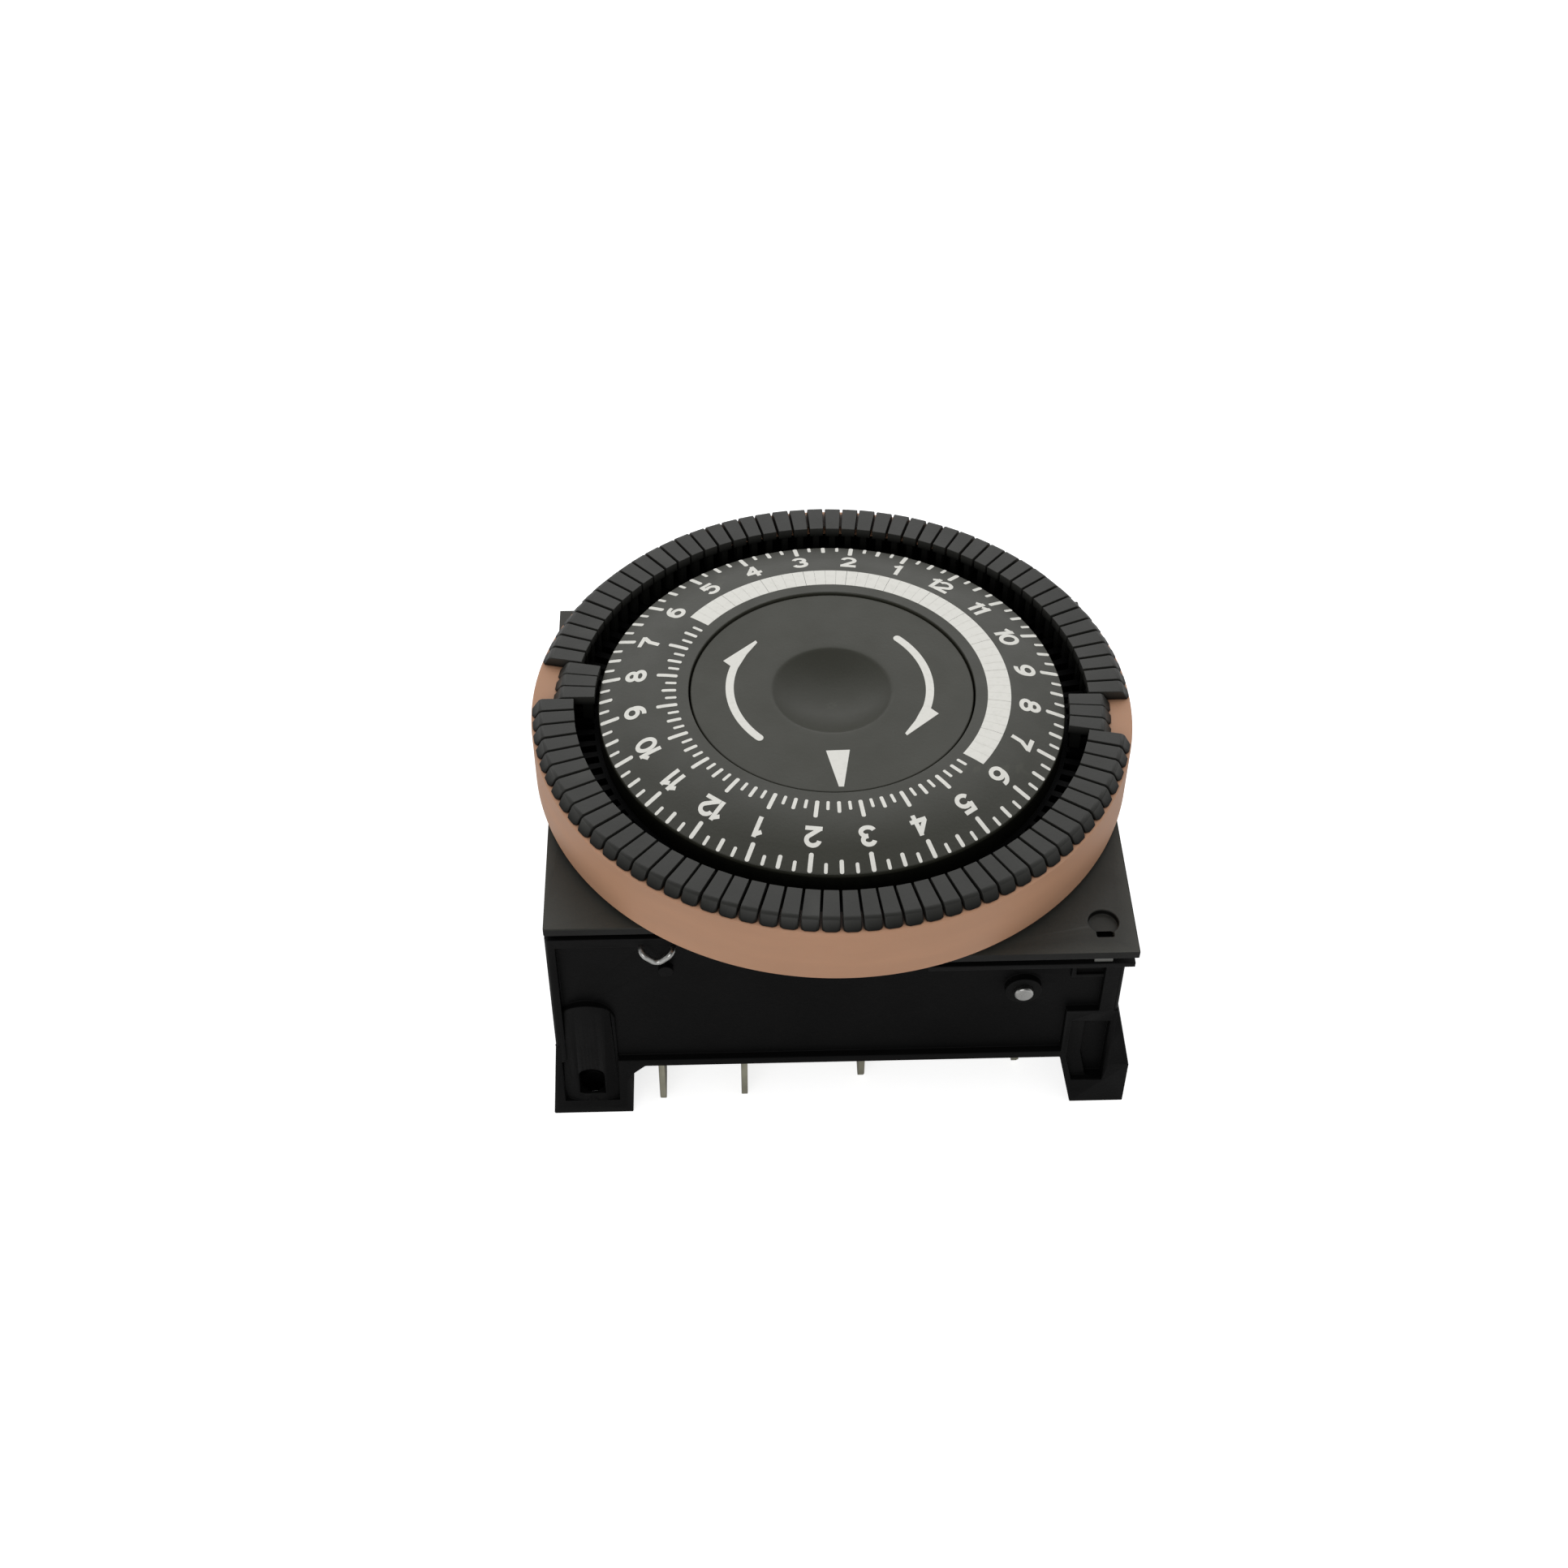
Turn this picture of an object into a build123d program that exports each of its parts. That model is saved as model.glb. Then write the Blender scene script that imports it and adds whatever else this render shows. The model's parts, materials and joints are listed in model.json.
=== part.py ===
"""Time switch module with a 24-hour segment dial. Millimetres, +Z up.

The origin is on the dial axis, in the plane that the feet stand on. The front is -Y.
"""
from build123d import *
from math import atan, cos, pi, radians, sin, sqrt, tan
import os

# Clearances that the pieces share
FIT = 0.03                    # radial gap of a fixed fit
RUN = 0.06                    # radial gap of a running fit
PLAY = 0.3                    # free gap beside a moving piece
SHEET = 0.8                   # thickness of terminal and contact metal

# Housing
BODY_LEFT = 35.1              # dial axis to the left wall
BODY_RIGHT = 34.8             # dial axis to the right wall
BODY_HALF_DEPTH = 28.0
BODY_HEIGHT = 25.1
WALL = 1.6
FRONT_WALL = 2.6
FLOOR = 1.8
FRONT_RECESS = 1.0            # depth of the sunk panel in the front wall
FRAME_SIDE = 1.2              # frame left standing beside the sunk panel
FRAME_BOTTOM = 1.2
FRAME_TOP = 1.5
CORNER_R = 0.6

# Feet
FOOT_HEIGHT = 9.6             # stand-off between the mounting plane and the box
FOOT_DEPTH = 11.0
SCREW_FOOT_WIDTH = 10.2
SCREW_FOOT_FLARE = 1.1        # the screw foot leans out by this much
SCREW_FOOT_FLARE_TOP = 14.0
SCREW_FOOT_CHAMFER = 1.9
COLUMN_HALF_WIDTH = 3.5       # arched column above the screw foot
COLUMN_INSET = 4.1            # column's middle, in from the side wall
COLUMN_BASE = 2.6
COLUMN_TOP = 22.0
COLUMN_CROWN = 0.6            # bulge of the column's front
NICHE_HALF_WIDTH = 1.65       # arched niche in the column's base
NICHE_FLOOR = 4.1
NICHE_TOP = 9.2
NICHE_DEPTH = 3.6
MOUNT_HOLE_R = 1.5
MOUNT_HOLE_BACK = 1.9         # front face to the mounting hole's axis
TALL_FOOT_REACH = 2.6         # tall foot stands out past the side wall
TALL_FOOT_FLARE_TOP = 19.0
TALL_FOOT_FLARE_END = 7.6
TALL_FOOT_FLARE_LEAN = 1.6    # the flare's front leans back by this much
TALL_FOOT_TOP_WIDTH = 6.4
TALL_FOOT_BOTTOM_WIDTH = 6.9
POCKET_FLOOR = 4.7
POCKET_TOP = 17.0
POCKET_SKIN = 0.8             # foot's inner edge to its pocket
POCKET_SIDE = 0.6             # right wall's face to the pocket
POCKET_BACK = 0.9             # wall left standing behind the pocket
POCKET_STEP = 1.9             # shallow step along the pocket's inner edge
LEDGE_STEP = 0.6              # thin ledges on the front

# Top plate
PLATE_THICKNESS = 2.0
PLATE_EDGE = 1.2              # full-size upper layer, above a shadow gap
PLATE_REBATE = 0.8
NOSE_LEFT = 9.0               # where the plate's front nose starts
NOSE_REACH = 5.2
FLANGE_GAP = 1.5              # nose to the flange below it
FLANGE_THICKNESS = 0.8
FLANGE_SETBACK = 1.2
RECESS_R = 1.8                # round recess with a window, over the plate clip
RECESS_DEPTH = 0.8
RECESS_FROM_SIDE = 3.8
RECESS_FROM_FRONT = 4.75
WINDOW_WIDTH = 2.0
WINDOW_LENGTH = 1.3
WINDOW_LEAD = 0.5             # window's front edge ahead of the recess
CLIP_WIDTH = 2.2
CLIP_LENGTH = 1.1

# Dial ring and trippers
RING_R = 37.0
RING_HEIGHT = 8.2
RING_LIFT = 0.8               # top plate to the ring
RING_WALL = 1.6
LEDGE_WIDTH = 3.3
LEDGE_THICKNESS = 1.25
TRIPPER_COUNT = 96            # one for each quarter of an hour
TRIPPER_GAP = 0.32
TRIPPER_HEIGHT = 1.3
TRIPPER_LENGTH = 5.2
TRIPPER_SETBACK = 0.1         # ring's edge to the trippers' outer ends
TRIPPER_TRAVEL = 2.5
TRIPPER_SLIDE_GAP = 0.1
TIP_LENGTH = 0.35             # stretch over which a tripper's tip narrows
TIP_HALF_WIDTH = 0.6
TIP_SLOPE = 1.05              # slant of the tip's end face
STEM_LENGTH = 1.3
STEM_WIDTH = 0.8
STEM_INSET = 0.3              # tripper's inner end to its stem
STEM_PROUD = 0.3              # stem stands out under the carrier
SLOT_WIDTH = 1.1
DIAL_TURN = -0.8              # degrees from +X to the first gap between trippers
PM_FIRST_INDEX = 45           # first tripper that is pushed in on each half of the dial
AM_FIRST_INDEX = 93
SET_COUNT = 3                 # trippers pushed in for each switching period
CARRIER_LIFT = 1.1            # carrier's underside above the ring's
GROOVE_DEPTH = 2.7            # carrier's floor below the ring's ledge

# Dial face and centre disc
FACE_GAP = 0.5                # face's edge to a tripper that is pushed in
FACE_CONE_WIDTH = 5.8
FACE_BORDER = 5.3             # flat inner border of the face
FACE_RIM_LIFT = 0.6           # face's rim above the ring's ledge
FACE_RISE = 2.05
FACE_THICKNESS = 1.5
FACE_SKIRT = 1.2
DISC_SINK = 0.25              # centre disc below the face
DISC_GAP = 0.2
DISC_THICKNESS = 1.55
DIMPLE_R = 7.5
DIMPLE_DEPTH = 2.8
DISC_BOSS_R = 8.6

# Dial wheel and post
WEB_THICKNESS = 1.6
WEB_LIFT = 1.8                # carrier's underside to the web
HUB_R = 5.0
POST_R = 3.0
POST_NECK_R = 2.2
POST_FLANGE_R = 5.0
POST_FLANGE_THICKNESS = 1.5
HUB_LIFT = 0.4                # top plate to the hub
HUB_TOP_OVER_WEB = 1.0
CLIP_RING_R = 4.4
CLIP_RING_THICKNESS = 0.6

# Gears
PRESSURE_ANGLE = radians(20)
ADDENDUM = 0.85               # of the module
DEDENDUM = 1.25
BACKLASH = 0.12
FLANK_POINTS = 4
DIAL_MODULE = 0.5
DIAL_TEETH = 70
DIAL_RIM = 3.0                # solid rim inside the dial gear's teeth
PINION_TEETH = 14
TRAIN_MODULE = 0.4
CLUTCH_TEETH = 56
IDLER_TEETH = 42
SHAFT_BEARING = 150.0         # direction of the drive shaft from the dial axis, degrees
IDLER_BEARING = 0.0           # direction of the idler from the drive shaft
OUTPUT_BEARING = -25.0        # direction of the output pinion from the idler
GEAR_FACE = 1.6               # width of a wheel's teeth
SHAFT_R = 1.5
SHAFT_PIVOT_R = 1.0
SHAFT_FLANGE_R = 3.5
SHAFT_FLANGE_THICKNESS = 1.7
COLLAR_R = 3.0
COLLAR_LENGTH = 1.4
SPRING_R = 4.5
SPRING_RISE = 0.7
SPRING_THICKNESS = 0.4
AXLE_R = 1.0
OUTPUT_R = 1.25

# Gear plate and motor
GEAR_PLATE_DROP = 9.1         # top plate to the gear plate's underside
GEAR_PLATE_THICKNESS = 1.0
GEAR_PLATE_HALF_WIDTH = 27.0
GEAR_PLATE_FROM_FRONT = 19.5  # front face to the gear plate
GEAR_PLATE_FROM_BACK = 2.6    # back face to the gear plate
GEAR_PLATE_SCREW_INSET = 2.4
BOSS_R = 2.2
PILOT_R = 0.8
HEAD_R = 1.8
HEAD_HEIGHT = 1.2
CROSS_REACH = 1.1             # cross slot, from the head's middle
CROSS_HALF_WIDTH = 0.35
CROSS_DEPTH = 0.6
PLATE_SCREW_LENGTH = 8.0
PLATE_SCREW_INSET = 3.4       # side wall to the top plate's screws
PLATE_SCREW_FROM_FRONT = 16.0
PLATE_SCREW_FROM_BACK = 8.0
MOTOR_AT = (9.0, 7.5)
MOTOR_SIDE_GAP = 1.9          # motor to the back wall
MOTOR_FLOOR_GAP = 0.6
MOTOR_WALL = 0.8
GEARBOX_HEIGHT = 2.6
COIL_INNER_R = 9.5
COIL_GAP = 0.4
ROTOR_R = 8.2
ROTOR_GAP = 1.0
ROTOR_SHAFT_R = 0.75
LEAD_R = 0.55
LEAD_BEND = 1.2

# Switch
LEVER_X = -20.9
LEVER_FROM_FRONT = 6.7        # front face to the lever's middle
LEVER_WIDTH = 4.0
LEVER_ARM = 1.6
LEVER_BOSS_R = 2.2
LEVER_PIN_R = 1.0
LEVER_PIN_DROP = 4.1          # top plate to the lever's pin
LEVER_NOSE_GAP = 0.4          # nose to the trippers' stems
LEVER_DROP = 6.0              # pin to the foot that pushes the blade
LEVER_FOOT_HEIGHT = 1.6
LEVER_SWING = 1.0             # sideways room for the nose
RIB_THICKNESS = 1.5
RIB_GAP = 1.5                 # lever to the rib that holds its pin
BLADE_FROM_LEVER = 2.4        # pin axis to the contact blade
BLADE_THICKNESS = 0.3
BLADE_ROOT_LIFT = 0.5         # common terminal's strip to the blade's root
BLADE_OVER_FOOT = 0.8         # blade's end above the lever's foot
CONTACT_DROP = 4.6            # lever's foot to the contacts
CONTACT_R = 0.9
CONTACT_LENGTH = 0.8          # moving contact stands out on each side
CONTACT_REST_GAP = 0.15       # closed contact at rest
CONTACT_OPEN_GAP = 0.45
FIXED_CONTACT_LENGTH = 0.6
WIRE_R = 0.4
WIRE_SHIFT = -0.9             # wire hook beside the lever's pin
WIRE_BEND = 0.9
WIRE_HALF_WIDTH = 1.9
WIRE_TOP_DROP = 1.7           # top plate to the wire's straight ends
WIRE_DROP = 1.8
WIRE_PROUD = 0.9
PEG_R = 0.9
PEG_DROP = 6.3                # top plate to the peg
FRONT_SCREW_X = 22.7
FRONT_SCREW_DROP = 11.5       # top plate to the front screw
FRONT_SCREW_R = 1.2
FRONT_SCREW_HEAD = 0.7
FRONT_SCREW_LENGTH = 6.0
FRONT_BOSS_R = 2.25

# Terminals: blade's x, and its front edge behind the front face
TAB_WIDTH = 6.3
TAB_TIP_Z = 0.3
TAB_TIP_LENGTH = 1.6
TAB_TIP_WIDTH = 4.2
TAB_NECK = 4.0
TERMINAL_PLACES = {
    "terminal_nc": (-22.1, 0.75),
    "terminal_common": (-11.6, 1.1),
    "terminal_no": (3.6, 3.7),
    "terminal_line": (23.9, 5.5),
    "terminal_neutral": (16.0, 11.5),
}
LEAD_TERMINAL_RISE = 2.0      # floor to the tops of the motor's terminals
COMMON_STRIP_RISE = 0.8       # floor to the terminals' strips
NO_STRIP_RISE = 4.2
ARM_OVER_CONTACT = 1.6

# Heights that follow
BODY_TOP = FOOT_HEIGHT + BODY_HEIGHT
FLOOR_TOP = FOOT_HEIGHT + FLOOR
PLATE_TOP = BODY_TOP + PLATE_THICKNESS
RING_BASE = PLATE_TOP + RING_LIFT
RING_TOP = RING_BASE + RING_HEIGHT
CARRIER_BASE = RING_BASE + CARRIER_LIFT
GROOVE_FLOOR = RING_TOP - GROOVE_DEPTH
TRIPPER_BASE = RING_TOP + TRIPPER_SLIDE_GAP
STEM_END = CARRIER_BASE - STEM_PROUD
FACE_RIM = RING_TOP + FACE_RIM_LIFT
FACE_TOP = FACE_RIM + FACE_RISE
WEB_BASE = CARRIER_BASE + WEB_LIFT
WEB_TOP = WEB_BASE + WEB_THICKNESS
HUB_BASE = PLATE_TOP + HUB_LIFT
HUB_TOP = WEB_TOP + HUB_TOP_OVER_WEB
NECK_BASE = HUB_TOP + PLAY
DISC_SEAT = NECK_BASE + CLIP_RING_THICKNESS
DISC_TOP = FACE_TOP - DISC_SINK
GEAR_PLATE_Z = BODY_TOP - GEAR_PLATE_DROP
GEAR_PLATE_TOP = GEAR_PLATE_Z + GEAR_PLATE_THICKNESS
GEARBOX_BASE = GEAR_PLATE_Z - GEARBOX_HEIGHT
MOTOR_BASE = FLOOR_TOP + MOTOR_FLOOR_GAP
LEAD_Z = (MOTOR_BASE + GEARBOX_BASE) / 2
LEVER_TOP = STEM_END - LEVER_NOSE_GAP
LEVER_PIN_Z = BODY_TOP - LEVER_PIN_DROP
LEVER_FOOT_Z = LEVER_PIN_Z - LEVER_DROP
CONTACT_Z = LEVER_FOOT_Z - CONTACT_DROP
CONTACT_ARM_TOP = CONTACT_Z + ARM_OVER_CONTACT
BLADE_TOP_Z = LEVER_FOOT_Z + LEVER_FOOT_HEIGHT + BLADE_OVER_FOOT
COMMON_STRIP_Z = FLOOR_TOP + COMMON_STRIP_RISE
BLADE_ROOT_Z = COMMON_STRIP_Z + SHEET + BLADE_ROOT_LIFT
NO_STRIP_Z = FLOOR_TOP + NO_STRIP_RISE
LEAD_TERMINAL_TOP = FLOOR_TOP + LEAD_TERMINAL_RISE
WIRE_TOP_Z = BODY_TOP - WIRE_TOP_DROP
PEG_Z = BODY_TOP - PEG_DROP
FRONT_SCREW_Z = BODY_TOP - FRONT_SCREW_DROP

# Radii and places that follow
PITCH_ANGLE = 360 / TRIPPER_COUNT
LEDGE_R = RING_R - LEDGE_WIDTH
TRIPPER_OUTER_R = RING_R - TRIPPER_SETBACK
TRIPPER_INNER_R = TRIPPER_OUTER_R - TRIPPER_LENGTH
STEM_INNER_R = TRIPPER_INNER_R + STEM_INSET
FACE_R = TRIPPER_INNER_R - TRIPPER_TRAVEL - FACE_GAP
FACE_FLAT_R = FACE_R - FACE_CONE_WIDTH
FACE_HOLE_R = FACE_FLAT_R - FACE_BORDER
CARRIER_R = FACE_R + 2 * FIT
BODY_FRONT = -BODY_HALF_DEPTH
PANEL_FRONT = BODY_FRONT + FRONT_RECESS
WALL_INSIDE = BODY_FRONT + FRONT_WALL
NOSE_FRONT = BODY_FRONT - NOSE_REACH
COLUMN_X = -BODY_LEFT + COLUMN_INSET
SHAFT_DISTANCE = DIAL_MODULE * (DIAL_TEETH + PINION_TEETH) / 2
IDLER_DISTANCE = TRAIN_MODULE * (CLUTCH_TEETH + PINION_TEETH) / 2
OUTPUT_DISTANCE = TRAIN_MODULE * (IDLER_TEETH + PINION_TEETH) / 2
GEAR_PLATE_FRONT = BODY_FRONT + GEAR_PLATE_FROM_FRONT
GEAR_PLATE_BACK = BODY_HALF_DEPTH - GEAR_PLATE_FROM_BACK
MOTOR_R = BODY_HALF_DEPTH - WALL - MOTOR_SIDE_GAP - MOTOR_AT[1]
LEVER_Y = BODY_FRONT + LEVER_FROM_FRONT
NOSE_R = STEM_INNER_R - TRIPPER_TRAVEL + STEM_LENGTH / 2
NOSE_X = -sqrt(NOSE_R ** 2 - LEVER_Y ** 2)
BLADE_X = LEVER_X + BLADE_FROM_LEVER
TERMINALS_AT = {name: (x, BODY_FRONT + setback) for name, (x, setback) in TERMINAL_PLACES.items()}


def away(start, distance, bearing):
    """Point in plan at a distance and direction (degrees) from another."""
    turn = radians(bearing)
    return (start[0] + distance * cos(turn), start[1] + distance * sin(turn))


SHAFT_AT = away((0, 0), SHAFT_DISTANCE, SHAFT_BEARING)
IDLER_AT = away(SHAFT_AT, IDLER_DISTANCE, IDLER_BEARING)
OUTPUT_AT = away(IDLER_AT, OUTPUT_DISTANCE, OUTPUT_BEARING)

# Levels of the gear train, from the gear plate up
IDLER_BASE = GEAR_PLATE_TOP + PLAY
CLUTCH_BASE = IDLER_BASE + GEAR_FACE + 2 * PLAY
CLUTCH_TOP = CLUTCH_BASE + GEAR_FACE
IDLER_TOP = CLUTCH_TOP + PLAY
SPRING_BASE = CLUTCH_TOP + FIT
COLLAR_BASE = SPRING_BASE + SPRING_RISE + SPRING_THICKNESS
PINION_BASE = CARRIER_BASE + PLAY
PINION_TOP = WEB_BASE - PLAY
PLATE_SCREWS_AT = [
    (x, y)
    for x in (-BODY_LEFT + PLATE_SCREW_INSET, BODY_RIGHT - PLATE_SCREW_INSET)
    for y in (BODY_FRONT + PLATE_SCREW_FROM_FRONT, BODY_HALF_DEPTH - PLATE_SCREW_FROM_BACK)
]
GEAR_PLATE_SCREWS_AT = [
    (side * (GEAR_PLATE_HALF_WIDTH - GEAR_PLATE_SCREW_INSET), y)
    for side in (-1, 1)
    for y in (GEAR_PLATE_FRONT + GEAR_PLATE_SCREW_INSET, GEAR_PLATE_BACK - GEAR_PLATE_SCREW_INSET)
]


# Building blocks
def block(x, y, z):
    """Box between the low and high value on each axis."""
    middle = [(low + high) / 2 for low, high in (x, y, z)]
    size = [high - low for low, high in (x, y, z)]
    return Pos(*middle) * Box(*size)


def bar(radius, low, high, at=(0, 0)):
    """Upright round bar between two heights."""
    return Pos(at[0], at[1], (low + high) / 2) * Cylinder(radius, high - low)


def tube(outer, inner, low, high, at=(0, 0)):
    return bar(outer, low, high, at) - bar(inner, low, high, at)


def bar_along_y(radius, x, z, front, back):
    """Round bar that lies along Y."""
    return Pos(x, (front + back) / 2, z) * Rot(90, 0, 0) * Cylinder(radius, back - front)


def bar_along_x(radius, y, z, left, right):
    """Round bar that lies along X."""
    return Pos((left + right) / 2, y, z) * Rot(0, 90, 0) * Cylinder(radius, right - left)


def turned(*outline):
    """Solid of revolution about the dial axis from (radius, height) points."""
    return revolve(Plane.XZ * make_face(Polyline(*outline, close=True)), Axis.Z)


def front_profile(outline, front, back):
    """Prism between two depths from an outline of (x, z) points."""
    face = make_face(Polyline(*outline, close=True))
    return extrude(Plane.XZ.offset(-back) * face, back - front)


def half_turn(shape):
    """The same feature on the opposite corner."""
    return Rot(0, 0, 180) * shape


def wire(points, radius, bend):
    """Round wire along straight runs with rounded corners."""
    path = FilletPolyline(*points, radius=bend)
    return sweep(Plane(path @ 0, z_dir=path % 0) * Circle(radius), path)


# Gears
def tooth_half_angle(teeth, module, radius):
    """Half of a tooth's angle at a radius, on an involute flank."""
    pitch_r = module * teeth / 2
    base_r = pitch_r * cos(PRESSURE_ANGLE)
    involute_at_pitch = tan(PRESSURE_ANGLE) - PRESSURE_ANGLE
    roll = sqrt(max(radius / base_r, 1) ** 2 - 1)
    involute = roll - atan(roll)
    half_at_pitch = (pi * module / 2 - BACKLASH) / (2 * pitch_r)
    return half_at_pitch + involute_at_pitch - involute


def spur_gear(teeth, module, low, high, at, turn=0.0):
    """Spur gear with a tooth centred at the given turn in degrees."""
    pitch_r = module * teeth / 2
    root_r = pitch_r - DEDENDUM * module
    tip_r = pitch_r + ADDENDUM * module
    start_r = max(root_r, pitch_r * cos(PRESSURE_ANGLE))
    steps = [start_r + (tip_r - start_r) * i / (FLANK_POINTS - 1) for i in range(FLANK_POINTS)]
    radii = [root_r] + [r for r in steps if r > root_r]
    flank = [(r, tooth_half_angle(teeth, module, r)) for r in radii]
    outline = []
    for tooth in range(teeth):
        middle = radians(turn) + 2 * pi * tooth / teeth
        rising = [(r, middle - half) for r, half in flank]
        falling = [(r, middle + half) for r, half in reversed(flank)]
        outline += [(r * cos(a), r * sin(a)) for r, a in rising + falling]
    face = make_face(Polyline(*outline, close=True))
    return Pos(at[0], at[1], low) * extrude(face, high - low)


def meshed_turn(teeth, other_teeth, other_turn, bearing):
    """Turn of a gear that meshes with another one, seen from that one at a bearing."""
    return bearing + 180 + 180 / teeth + (bearing - other_turn) * other_teeth / teeth


# Housing
def screw_foot():
    """Front left foot."""
    left = -BODY_LEFT
    right = left - SCREW_FOOT_FLARE + SCREW_FOOT_WIDTH
    back = BODY_FRONT + FOOT_DEPTH
    outline = [
        (left - SCREW_FOOT_FLARE, 0),
        (right, 0),
        (right, FOOT_HEIGHT - SCREW_FOOT_CHAMFER),
        (right + SCREW_FOOT_CHAMFER, FOOT_HEIGHT),
        (right + SCREW_FOOT_CHAMFER, FOOT_HEIGHT + FRAME_BOTTOM),
        (left + FRAME_SIDE, FOOT_HEIGHT + FRAME_BOTTOM),
        (left + FRAME_SIDE, SCREW_FOOT_FLARE_TOP),
        (left, SCREW_FOOT_FLARE_TOP),
    ]
    return front_profile(outline, BODY_FRONT, back)


def column_bed_cut():
    """Bed in the foot's front that the column stands in."""
    return block(
        (COLUMN_X - COLUMN_HALF_WIDTH, COLUMN_X + COLUMN_HALF_WIDTH),
        (BODY_FRONT - FIT, PANEL_FRONT),
        (COLUMN_BASE, FOOT_HEIGHT + FRAME_BOTTOM),
    )


def screw_column():
    """Arched column with a bulging front, from the foot up into the sunk panel."""
    half = COLUMN_HALF_WIDTH
    arch_z = COLUMN_TOP - half
    depth = (BODY_FRONT, WALL_INSIDE)
    column = block((COLUMN_X - half, COLUMN_X + half), depth, (COLUMN_BASE, arch_z))
    column += bar_along_y(half, COLUMN_X, arch_z, *depth)
    bulge_r = (half ** 2 + COLUMN_CROWN ** 2) / (2 * COLUMN_CROWN)
    return column & bar(bulge_r, COLUMN_BASE, COLUMN_TOP, (COLUMN_X, BODY_FRONT + bulge_r))


def screw_niche():
    """Arched niche and the mounting hole in its floor, to be cut out."""
    arch_z = NICHE_TOP - NICHE_HALF_WIDTH
    back = BODY_FRONT + NICHE_DEPTH
    front = BODY_FRONT - FIT
    sides = (COLUMN_X - NICHE_HALF_WIDTH, COLUMN_X + NICHE_HALF_WIDTH)
    niche = block(sides, (front, back), (NICHE_FLOOR, arch_z))
    niche += bar_along_y(NICHE_HALF_WIDTH, COLUMN_X, arch_z, front, back)
    hole = bar(MOUNT_HOLE_R, 0, NICHE_FLOOR, (COLUMN_X, BODY_FRONT + MOUNT_HOLE_BACK))
    return niche + hole


def tall_foot_inner(z):
    """Inner edge of the tall foot at a height."""
    foot = BODY_RIGHT + TALL_FOOT_REACH - TALL_FOOT_BOTTOM_WIDTH
    wall = BODY_RIGHT - TALL_FOOT_TOP_WIDTH
    return foot + (wall - foot) * min(z / FOOT_HEIGHT, 1)


def tall_foot():
    """Front right foot, flared to the side."""
    outer = BODY_RIGHT + TALL_FOOT_REACH
    outline = [
        (tall_foot_inner(0), 0),
        (outer, 0),
        (outer, TALL_FOOT_FLARE_END),
        (BODY_RIGHT, TALL_FOOT_FLARE_TOP),
        (tall_foot_inner(FOOT_HEIGHT), TALL_FOOT_FLARE_TOP),
        (tall_foot_inner(FOOT_HEIGHT), FOOT_HEIGHT),
    ]
    return front_profile(outline, BODY_FRONT, BODY_FRONT + FOOT_DEPTH)


def flare_cut():
    """Wedge that makes the tall foot's flare lean back."""
    side = [
        (BODY_FRONT - FIT, TALL_FOOT_FLARE_END),
        (BODY_FRONT + TALL_FOOT_FLARE_LEAN, TALL_FOOT_FLARE_TOP),
        (BODY_FRONT - FIT, TALL_FOOT_FLARE_TOP),
    ]
    face = make_face(Polyline(*side, close=True))
    return extrude(Plane.YZ.offset(BODY_RIGHT) * face, TALL_FOOT_REACH)


def tall_foot_pocket():
    """Stepped pocket in the tall foot's front, to be cut out."""
    levels = (POCKET_FLOOR, FOOT_HEIGHT, POCKET_TOP)
    inner = [(tall_foot_inner(z) + POCKET_SKIN, z) for z in levels]
    step = [(x + POCKET_STEP, z) for x, z in reversed(inner)]
    right = BODY_RIGHT - POCKET_SIDE
    depth = FRONT_WALL - POCKET_BACK
    shallow = BODY_FRONT + depth / 2
    pocket = front_profile(inner + [(right, POCKET_TOP), (right, POCKET_FLOOR)], BODY_FRONT - FIT, shallow)
    return pocket + front_profile(
        step + [(right, POCKET_FLOOR), (right, POCKET_TOP)], shallow, BODY_FRONT + depth
    )


def front_panel_cut():
    """Sunk panel of the front wall."""
    right = BODY_RIGHT - TALL_FOOT_TOP_WIDTH
    return block(
        (-BODY_LEFT + FRAME_SIDE, right),
        (BODY_FRONT - FIT, PANEL_FRONT),
        (FOOT_HEIGHT + FRAME_BOTTOM, BODY_TOP - FRAME_TOP),
    )


def corner_bay_cut():
    """Bay beside the right wall, above the tall foot, with its shelf and rib left standing."""
    left = BODY_RIGHT - TALL_FOOT_TOP_WIDTH
    right = BODY_RIGHT - 2 * FRAME_SIDE
    low = POCKET_TOP + LEDGE_STEP
    high = BODY_TOP - FLANGE_GAP - FLANGE_THICKNESS
    shelf = (low + high) / 2
    bay = block((left, right), (BODY_FRONT - FIT, PANEL_FRONT), (low, high))
    front = BODY_FRONT + FRONT_RECESS / 2
    shelf_bar = block((left, right), (front, PANEL_FRONT), (shelf, shelf + LEDGE_STEP))
    rib = block((left, left + LEDGE_STEP), (front, PANEL_FRONT), (shelf, high))
    return bay - shelf_bar - rib


def nose_flange():
    """Thin flange under the plate's nose."""
    top = BODY_TOP - FLANGE_GAP
    return block(
        (NOSE_LEFT + FLANGE_SETBACK, BODY_RIGHT),
        (NOSE_FRONT + FLANGE_SETBACK, BODY_FRONT + FRONT_WALL),
        (top - FLANGE_THICKNESS, top),
    )


def nose_gap_cut():
    """Dark gap between the plate's nose and the flange."""
    return block(
        (NOSE_LEFT + 2 * FLANGE_SETBACK, BODY_RIGHT + FIT),
        (BODY_FRONT - FIT, PANEL_FRONT),
        (BODY_TOP - FLANGE_GAP, BODY_TOP + FIT),
    )


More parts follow.
